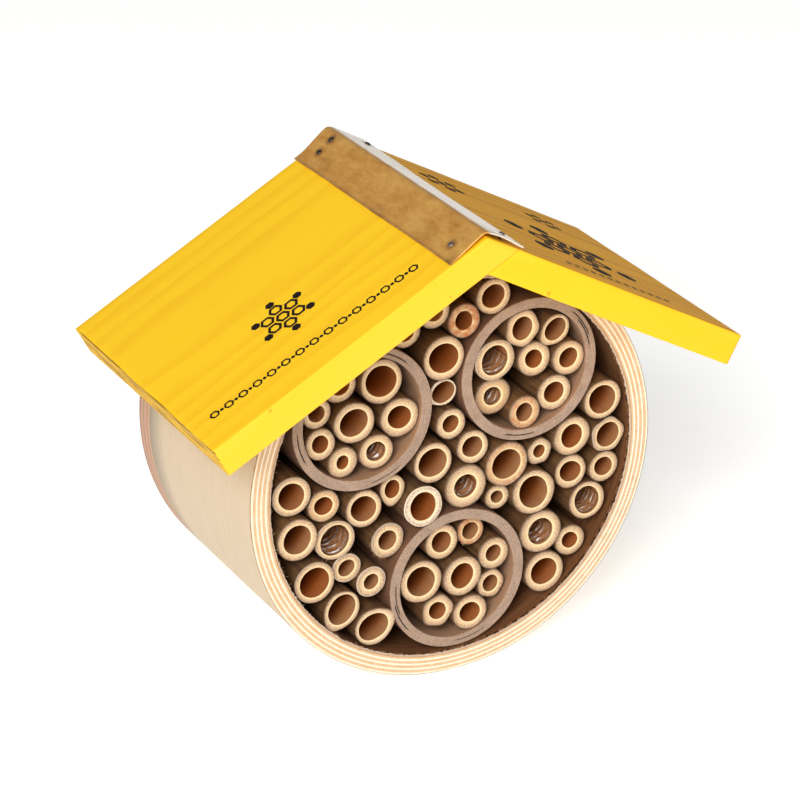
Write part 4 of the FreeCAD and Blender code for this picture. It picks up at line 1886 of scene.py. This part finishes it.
DRUM_TRAITS = (
    Trait(-64, 3, tone=0.6, grey=0.3),
    Trait(-62, -14, tone=0.55),
    Trait(-55, -33, grey=0.3),
    Trait(-44, -47, Outline.TEARDROP, 235),
    Trait(-31, -57, Outline.TEARDROP, 20, tone=0.6),
    Trait(57, -26, lining=Lining.FILM),
    Trait(-51, -4, tone=0.15, frays=10),
    Trait(-47, -18, lining=Lining.FILM, tone=0.45, grey=0.5, frays=8),
    Trait(-41, -32, grey=0.7, frays=5),
    Trait(-32, -39, tone=0.55, grey=0.6),
    Trait(-25, -24, tone=0.6, grey=0.4, frays=26),
    Trait(37, -34, lining=Lining.FILM, frays=4),
    Trait(-23, -4, Outline.TEARDROP, 265, tone=0.4),
    Trait(-12, -12, tone=0.85, grey=0.9),
    Trait(6, -9, lining=Lining.FILM, tone=0.55),
    Trait(22, -3, tone=0.25, stain=0.25),
    Trait(37, -2, Outline.ANGULAR, 0),
    Trait(-3, 30, Outline.TEARDROP, 200, tone=0.85, grey=0.9),
    Trait(7, 58, tone=0.3, stain=0.75),
    Trait(33, -17, tone=0.4),
    Trait(62, 14, tone=0.35),
    Trait(65, -1, Outline.ANGULAR, 40, tone=0.45, grey=0.4),
)

CARD_TRAITS = {
    "left": (
        Trait(-4, -2, tone=0.6),
        Trait(5, -13, lining=Lining.FILM),
        Trait(-8, -16, tone=0.45, frays=5),
    ),
    "right": (
        Trait(-4, 16, Outline.ANGULAR, 30, tone=0.45),
        Trait(13, 12, Outline.TEARDROP, 215),
        Trait(-14, 6, lining=Lining.FILM, tone=0.4, grey=0.4, frays=6),
        Trait(-14, -10, lining=Lining.FILM, tone=0.3, frays=5),
        Trait(11, -13, tone=0.6),
        Trait(-1, -18, tone=0.3, stain=0.5),
    ),
    "bottom": (
        Trait(7, 17, tone=0.3, stain=0.6, frays=12),
        Trait(14, -6, Outline.ANGULAR, 0),
        Trait(-7, -12, Outline.ANGULAR, 50, tone=0.45),
        Trait(3, 0, tone=0.6),
    ),
}


@dataclass
class Canes:
    """A group of canes that stand together and ride on one body."""

    name: str
    body: str
    nodes: Sequence[str]
    tubes: list[dict[str, Any]]
    traits: list[Trait]
    seed: int
    def numbers(self) -> list[dict[str, Any]]:
        """Everything that the tube tree needs to know of the canes.

        Returns:
            Each cane's numbers by name.
        """
        chance = random.Random(self.seed)
        rows = []
        for tube, trait in zip(self.tubes, self.traits):
            angular, keeled = trait.outline is Outline.ANGULAR, trait.outline is Outline.TEARDROP
            row = {
                "outer": tube["outer"] - 0.04 * MM,
                "bore": tube["bore"] * 1.02,
                "oval": chance.uniform(0.008, 0.022) + (0.012 if keeled else 0.0),
                "oval_turn": math.radians(trait.turn) if keeled else chance.uniform(0, math.pi),
                "bore_oval": chance.uniform(0.015, 0.05) + (0.05 if keeled else 0.0),
                "bore_turn": math.radians(trait.turn) if keeled else chance.uniform(0, math.pi),
                "keel": 0.23 if keeled else 0.0,
                "keel_turn": math.radians(trait.turn),
                "corners": 0.042 if angular else chance.uniform(0.0, 0.008),
                "seed": chance.uniform(0, 40),
                "tilt_x": chance.uniform(-0.035, 0.035),
                "tilt_z": chance.uniform(-0.035, 0.035),
                "tone": min(1.0, max(0.0, trait.tone + chance.uniform(-0.1, 0.1))),
                "stain": trait.stain,
                "grey": trait.grey,
            }
            rows.append(tube | row)
        return rows

    def dress(self, tree: GeometryGraph, bamboo: bpy.types.Material) -> bpy.types.Object:
        """Builds the canes as one finished piece.

        Args:
            tree: The tube tree.
            bamboo: Their material.

        Returns:
            The piece.
        """
        settings = WHOLE | {
            "Lip": 0.16 * MM,
            "Unevenness": 0.32 * MM,
            "Saw roughness": 0.10 * MM,
            "Bore fray": 0.12 * MM,
            "Material": bamboo,
        }
        mesh = tree.run(self.name, tube_points(self.name, self.numbers()), settings)
        return show(self.name, mesh, self.body, self.nodes)

    def films(self, tree: GeometryGraph, film: bpy.types.Material) -> bpy.types.Object | None:
        """Builds the loose linings of the canes that have one.

        Args:
            tree: The film tree.
            film: Its material.

        Returns:
            The piece, or None where no cane has a lining.
        """
        chance = random.Random(self.seed + 100)
        lined = [tube for tube, trait in zip(self.tubes, self.traits) if trait.lining is Lining.FILM]
        if not lined:
            return None
        count = len(lined)
        points = points_mesh(
            f"{self.name}_film",
            [tube["centre"] for tube in lined],
            bore=[tube["bore"] for tube in lined],
            start=[math.radians(chance.uniform(-168, -150)) for _ in range(count)],
            arc=[math.radians(chance.uniform(150, 185)) for _ in range(count)],
            inset=[chance.uniform(0.4, 1.0) * MM for _ in range(count)],
            length=[chance.uniform(11, 16) * MM for _ in range(count)],
            seed=[chance.uniform(0, 30) for _ in range(count)],
        )
        settings = {"Curl": 0.55 * MM, "Thickness": 0.09 * MM, "Material": film}
        mesh = tree.run(f"{self.name}_film", points, settings)
        return show(f"{self.name}_film", tidied(mesh, turn_out=True), self.body)

    def frayed(self, tree: GeometryGraph, fibre: bpy.types.Object, material: bpy.types.Material) -> None:
        """Stands loose fibres at the rims that have them.

        Args:
            tree: The fray tree.
            fibre: The fibre that it copies.
            material: Its material.
        """
        rough = [(tube, trait) for tube, trait in zip(self.tubes, self.traits) if trait.frays]
        if not rough:
            return
        chance = random.Random(self.seed + 200)
        points = points_mesh(
            f"{self.name}_fibres",
            [tube["centre"] for tube, _ in rough],
            frays=[trait.frays for _, trait in rough],
            rim=[tube["outer"] - 0.1 * MM for tube, _ in rough],
            fray_from=[math.radians(chance.uniform(100, 160)) for _ in rough],
            fray_arc=[math.radians(chance.uniform(90, 150)) for _ in rough],
            way=[0.9 for _ in rough],
        )
        settings = {"Fibre": fibre, "Seed": self.seed, "Lean": 0.5, "Material": material}
        mesh = tree.run(f"{self.name}_fibres", points, settings)
        show(f"{self.name}_fibres", mesh, self.body)


@dataclass
class Fill:
    """All the canes: those of the drum in four groups, and each card tube's own."""

    bamboo: bpy.types.Material
    film: bpy.types.Material
    fibre: bpy.types.Material
    around: int = 84
    groups: tuple[tuple[str, int, int], ...] = (
        ("canes_by_the_wall", 1, 11),
        ("canes_at_the_sides", 12, 21),
        ("canes_in_the_middle", 22, 31),
        ("canes_under_the_ridge", 32, 38),
    )

    @staticmethod
    def match(tubes: Sequence[dict[str, Any]], traits: Sequence[Trait], centre: Vector) -> list[Trait]:
        """The trait of each tube: the nearest one named, or a plain one.

        Args:
            tubes: The tubes.
            traits: The traits that are set apart.
            centre: Where their places are measured from.

        Returns:
            One trait for each tube.
        """
        found = [Trait(0, 0)] * len(tubes)
        for trait in traits:
            x, z = centre.x + trait.x * MM, centre.z + trait.z * MM
            away = [math.hypot(tube["centre"].x - x, tube["centre"].z - z) for tube in tubes]
            nearest = away.index(min(away))
            if away[nearest] < 5 * MM:
                found[nearest] = trait
        return found

    def gather(self) -> list[Canes]:
        """Reads the canes from the CAD nodes.

        Returns:
            The groups.
        """
        made = []
        for number, (name, first, last) in enumerate(self.groups):
            nodes = [f"cane_{index:02d}" for index in range(first, last + 1)]
            tubes = [tube_numbers(node) for node in nodes]
            matched = self.match(tubes, DRUM_TRAITS, Vector())
            made.append(Canes(name, HOUSE, nodes, tubes, matched, 31 + number))
        for number, (side, traits) in enumerate(CARD_TRAITS.items()):
            node = f"card_canes_{side}"
            tubes = [tube_of(solid) for solid in islands(node)]
            centre = tube_numbers(f"card_tube_{side}")["centre"]
            matched = self.match(tubes, traits, centre)
            name, body = f"canes_in_{side}_tube", f"cartridge_{side}"
            made.append(Canes(name, body, [node], tubes, matched, 51 + number))
        return made

    def dress(self) -> None:
        """Builds the canes, their linings and their loose fibres."""
        tubes, films, frays = TubeTree(self.around).build(), FilmTree().build(), FrayTree().build()
        fibre = bpy.data.objects.new("fibre", fibre_part())
        for group in self.gather():
            group.dress(tubes, self.bamboo)
            group.films(films, self.film)
            group.frayed(frays, fibre, self.fibre)
        bpy.data.objects.remove(fibre)


def fibre_part() -> bpy.types.Mesh:
    """One loose fibre: a thin bent sliver that stands on the origin.

    Returns:
        The mesh.
    """
    radius, length, bend, sides = 0.07 * MM, 1.7 * MM, 0.5 * MM, 4
    turns = [n * TAU / sides for n in range(sides)]
    rows = []
    for share, width in ((0.0, 0.0), (0.0, 1.0), (0.35, 0.85), (0.7, 0.6), (1.0, 0.0)):
        shift, reach, height = bend * share * share, radius * width, share * length
        rows.append([Vector((shift + reach * math.cos(t), reach * math.sin(t), height)) for t in turns])
    return tidied(sheet_mesh("fibre", rows, closed=True), turn_out=True)


@dataclass
class Drum:
    """The bent shell and the panel that closes its back."""

    board: RoofBoard
    plies: int = 9
    around: int = 600

    def shell(self) -> bpy.types.Object:
        """Builds the shell, cut flat under both boards.

        Returns:
            The piece.
        """
        low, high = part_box("drum_shell")
        bore = min(math.hypot(vert.co.x, vert.co.z) for vert in bpy.data.objects["drum_shell"].data.vertices)
        shell = {"outer": high.x, "bore": bore, "length": high.y - low.y, "seed": 2.0}
        points = tube_points("drum_shell", [shell | {"centre": Vector((0, low.y, 0))}])
        tree = TubeTree(self.around, bore_rows=10, end_rows=self.plies * 4, skin_rows=14, lip_share=0.06)
        settings = WHOLE | {
            "Lip": 0.3 * MM,
            "Unevenness": 0.0,
            "Saw roughness": 0.16 * MM,
            "Flat distance": self.board.ridge_z * math.cos(self.board.pitch) - self.board.thickness,
            "Flat pitch": self.board.pitch,
            "Layers": float(self.plies),
            "Layer step": 0.14 * MM,
            "Bore fray": 1.7 * MM,
            "Material": BentPlywood("birch_plywood_shell", self.plies).material(),
        }
        mesh = tree.build().run("drum_shell_plywood", points, settings)
        return show("drum_shell_plywood", mesh, HOUSE, ["drum_shell"])

    def panel(self) -> bpy.types.Object:
        """Builds the back panel.

        Returns:
            The piece.
        """
        low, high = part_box("back_panel")
        finish = PanelPlywood("birch_plywood_panel", high.x, high.y - low.y)
        mesh = softened("back_panel", 0.3 * MM, finish.material())
        return show("back_panel_plywood", mesh, HOUSE, ["back_panel"])

    def splinters(self, material: bpy.types.Material) -> None:
        """Stands splinters round the shell's inner edge.

        Args:
            material: Their material.
        """
        numbers = tube_numbers("drum_shell")
        fibre = bpy.data.objects.new("splinter", fibre_part())
        points = points_mesh(
            "drum_splinters",
            [numbers["centre"] + Vector((0, 0.5 * MM, 0))],
            frays=[90],
            rim=[numbers["bore"] + 0.1 * MM],
            fray_from=[math.radians(150)],
            fray_arc=[math.radians(240)],
            way=[-0.55],
        )
        settings = {"Fibre": fibre, "Seed": 5, "Lean": 0.9, "Material": material}
        mesh = FrayTree().build().run("drum_splinters", points, settings)
        bpy.data.objects.remove(fibre)
        show("drum_splinters", mesh, HOUSE)

    def dress(self, material: bpy.types.Material) -> None:
        """Builds the drum's pieces.

        Args:
            material: Material of the splinters.
        """
        self.shell()
        self.panel()
        self.splinters(material)


@dataclass
class CardTubes:
    """The three wound card tubes that pull out."""

    around: int = 240
    layers: int = 8
    splits: dict[str, tuple[float, float, float]] = field(
        default_factory=lambda: {"left": (60, 292, 195), "right": (24, 33, 262), "bottom": (188, 205, 283)}
    )

    def dress(self) -> None:
        """Builds each tube as a finished piece on its own body."""
        card = WoundCard("wound_card_tube", self.layers).material()
        tree = TubeTree(self.around, end_rows=30, lip_share=0.08).build()
        for number, (side, angles) in enumerate(self.splits.items()):
            node = f"card_tube_{side}"
            tube = tube_numbers(node) | {"oval": 0.003, "seed": 3.0 + number * 5}
            tube |= {f"split_{letter}": math.radians(angle) for letter, angle in zip("abc", angles)}
            settings = WHOLE | {
                "Lip": 0.28 * MM,
                "Unevenness": 0.12 * MM,
                "Saw roughness": 0.14 * MM,
                "Layers": float(self.layers),
                "Layer step": 0.05 * MM,
                "Bore fray": 0.12 * MM,
                "Split depth": 1.1 * MM,
                "Material": card,
            }
            mesh = tree.run(f"{node}_wound", tube_points(node, [tube]), settings)
            show(f"{node}_wound", mesh, f"cartridge_{side}", [node])


@dataclass
class CellPrint:
    """Plain honeycomb ornament printed on both roof boards."""

    left: RoofBoard
    right: RoofBoard
    ink: bpy.types.Material
    height: float = 0.07 * MM
    sunk: float = 0.16 * MM
    line: float = 0.4
    bold_line: float = 0.5
    solid: float = 1.0
    left_comb: Spot = (67.5, 40.0)
    right_comb: Spot = (68.0, 46.0)
    right_dots: tuple[tuple[Spot, float, float], ...] = (((36.0, 92.0), 7.0, 2.6), ((88.0, 96.0), 5.8, 2.1))
    border_steps: int = 15
    border_ends: tuple[Spot, Spot] = ((110.0, 17.4), (25.0, 13.6))

    def cell(self, line: float) -> bpy.types.Mesh:
        """One hexagon, a unit from its middle to its corners.

        Args:
            line: Width of its outline as a share of the whole, or 1 where it is solid.

        Returns:
            The mesh.
        """
        thick, inner = (self.height + self.sunk) / MM, 1 - line
        profile = [(inner, -thick), (1.0, -thick), (1.0, 0.0), (inner, 0.0)]
        if line < self.solid:
            profile.append(profile[0])
        return turned_part("cell", profile, 6)

    @staticmethod
    def cluster(centre: Spot, size: float, rings: int, pitch: float, beyond: float = -1.0) -> list[Mark]:
        """The cells of a round cluster.

        Args:
            centre: Its middle.
            size: Size of each cell.
            rings: Rings of cells round the first one.
            pitch: Distance between neighbours.
            beyond: How far from the middle the cells that are kept have to be.

        Returns:
            The marks.
        """
        marks = []
        for q in range(-rings, rings + 1):
            for r in range(max(-rings, -q - rings), min(rings, -q + rings) + 1):
                down, back = pitch * math.sqrt(3) / 2 * q, pitch * (r + q / 2)
                if math.hypot(down, back) > beyond:
                    marks.append((centre[0] + down, centre[1] + back, size))
        return marks

    def lay(self, name: str, board: RoofBoard, marks: Sequence[Mark], line: float) -> None:
        """Prints a set of cells on a board.

        Args:
            name: Name of the piece.
            board: The board.
            marks: The cells.
            line: As in cell().
        """
        lift = board.normal() * self.height
        seats = [board.weathered(down * MM, 0.0, -board.depth + back * MM) + lift for down, back, _ in marks]
        aims = [board.normal()] * len(seats)
        points = points_mesh(name, seats, aim=aims, size=[size * MM for _, _, size in marks])
        mesh = SetOutTree().copies(name, self.cell(line), points, self.ink)
        mesh.shade_flat()
        show(name, mesh, HOUSE)

    def dress(self) -> None:
        """Prints both boards."""
        self.lay("print_cells_left", self.left, self.cluster(self.left_comb, 3.0, 1, 6.0), self.line)
        last = self.border_steps - 1
        (down, back), (end_down, end_back) = self.border_ends
        border = [
            (down - (down - end_down) * n / last, back - (back - end_back) * n / last, 2.1)
            for n in range(self.border_steps)
        ]
        self.lay("print_border_left", self.left, border, self.line)
        dots = self.cluster(self.left_comb, 1.9, 2, 5.3, beyond=10.0)
        dots += [((a + c) / 2, (b + d) / 2, 0.8) for (a, b, _), (c, d, _) in zip(border, border[1:])]
        self.lay("print_dots_left", self.left, dots, self.solid)

        comb = self.cluster(self.right_comb, 5.9, 1, 11.6)
        self.lay("print_cells_right", self.right, comb, self.bold_line)
        dots = self.cluster(self.right_comb, 4.3, 2, 11.4, beyond=21.0)
        for centre, pitch, size in self.right_dots:
            dots += self.cluster(centre, size, 1, pitch)
        dots += [(46.0 + 3.9 * n, 14.0, 1.4) for n in range(13)]
        self.lay("print_dots_right", self.right, dots, self.solid)


# ---- Studio ----
@dataclass(frozen=True)
class Lamp:
    """A soft square lamp, placed by the direction that its light comes from."""

    name: str
    azimuth: float
    elevation: float
    distance: float
    size: float
    watts: float


@dataclass
class Studio:
    """Pale floor, soft lamps and the camera."""

    target: tuple[float, float, float] = (-3.17 * MM, -59.0 * MM, 13.7 * MM)
    azimuth: float = -27.755
    elevation: float = 24.626
    distance: float = 1329.35 * MM
    lens: float = 164.3
    sensor: float = 36.0
    floor_size: float = 40.0
    world_light: float = 0.27
    lamps: tuple[Lamp, ...] = (
        Lamp("key", -42, 31, 2.6, 1.2, 64.0),
        Lamp("fill", 38, 26, 2.6, 1.0, 9.0),
    )

    @staticmethod
    def direction(azimuth: float, elevation: float) -> Vector:
        """Unit vector towards a viewer at this azimuth and elevation, in degrees."""
        a, e = math.radians(azimuth), math.radians(elevation)
        return Vector((math.sin(a) * math.cos(e), -math.cos(a) * math.cos(e), math.sin(e)))

    def camera(self) -> None:
        """Makes the camera and gives it to the scene."""
        made = bpy.data.cameras.new("camera")
        made.lens, made.sensor_width = self.lens, self.sensor
        made.clip_start, made.clip_end = 0.05, 50.0
        camera = bpy.data.objects.new("camera", made)
        back = self.direction(self.azimuth, self.elevation)
        camera.location = Vector(self.target) + back * self.distance
        camera.rotation_euler = (-back).to_track_quat("-Z", "Y").to_euler()
        bpy.context.scene.collection.objects.link(camera)
        bpy.context.scene.camera = camera

    def floor(self, level: float) -> None:
        """Lays the floor.

        Args:
            level: Its height.
        """
        count = 12
        lines = [self.floor_size * (n / count - 0.5) for n in range(count + 1)]
        mesh = sheet_mesh("floor", [[Vector((x, y, level)) for x in lines] for y in lines])
        mesh.materials.append(Backdrop("pale_floor").material())
        floor = bpy.data.objects.new("floor", mesh)
        bpy.context.scene.collection.objects.link(floor)
        floor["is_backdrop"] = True

    def light(self) -> None:
        """Sets the lamps and the even light all round."""
        for lamp in self.lamps:
            made = bpy.data.lights.new(lamp.name, "AREA")
            made.energy, made.size = lamp.watts, lamp.size
            holder = bpy.data.objects.new(lamp.name, made)
            back = self.direction(lamp.azimuth, lamp.elevation)
            holder.location = Vector(self.target) + back * lamp.distance
            holder.rotation_euler = (-back).to_track_quat("-Z", "Y").to_euler()
            bpy.context.scene.collection.objects.link(holder)
        world = bpy.data.worlds.new("studio")
        world.use_nodes = True
        g = Graph(world.node_tree)
        inputs = {"Color": (1.0, 1.0, 1.0, 1.0), "Strength": self.world_light}
        sky = g.node("ShaderNodeBackground", inputs=inputs)
        g.place("ShaderNodeOutputWorld", inputs={"Surface": sky})
        bpy.context.scene.world = world
        bpy.context.scene.view_settings.view_transform = "Standard"

    def dress(self, level: float) -> None:
        """Builds the studio.

        Args:
            level: Height of the floor.
        """
        self.camera()
        self.floor(level)
        self.light()


def main() -> None:
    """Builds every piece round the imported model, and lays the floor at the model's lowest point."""
    logging.basicConfig(level=logging.INFO, format="%(message)s")
    # without a seed, the vector noise takes one from the clock
    noise.seed_set(NOISE_SEED)
    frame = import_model()
    cad_low, cad_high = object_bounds()

    left = RoofBoard(-1, "roof_board_left", spots=((96.0, 0.9, 1.0), (22.0, 9.5, 0.7)))
    right = RoofBoard(1, "roof_board_right", spots=((33.5, 10.6, 1.2),))
    left.dress()
    right.dress()
    LOG.info("roof boards: pitch %.2f, thickness %.2f mm", math.degrees(left.pitch), left.thickness / MM)
    CellPrint(left, right, PrintInk("print_ink").material()).dress()
    cap = RidgeCap(left)
    cap.dress()
    shades = colour(176, 168, 158), colour(84, 74, 66), colour(58, 42, 32)
    pin_steel = ZincSteel("zinc_steel_pins", *shades, worn=0.4, dark_from=-0.08)
    fixings = Fixings(ZincSteel("zinc_steel_fixings").material(), pin_steel.material(), cap)
    fixings.pins()
    fixings.nails()
    fixings.plate()
    fixings.screws()
    fixings.brads(frame)
    fibre = CaneFibre("loose_fibre").material()
    Drum(left).dress(fibre)
    CardTubes().dress()
    Fill(Bamboo("dry_bamboo").material(), BoreFilm("bore_film").material(), fibre).dress()
    Studio().dress(cad_low.z)


if __name__ == "__main__":
    main()
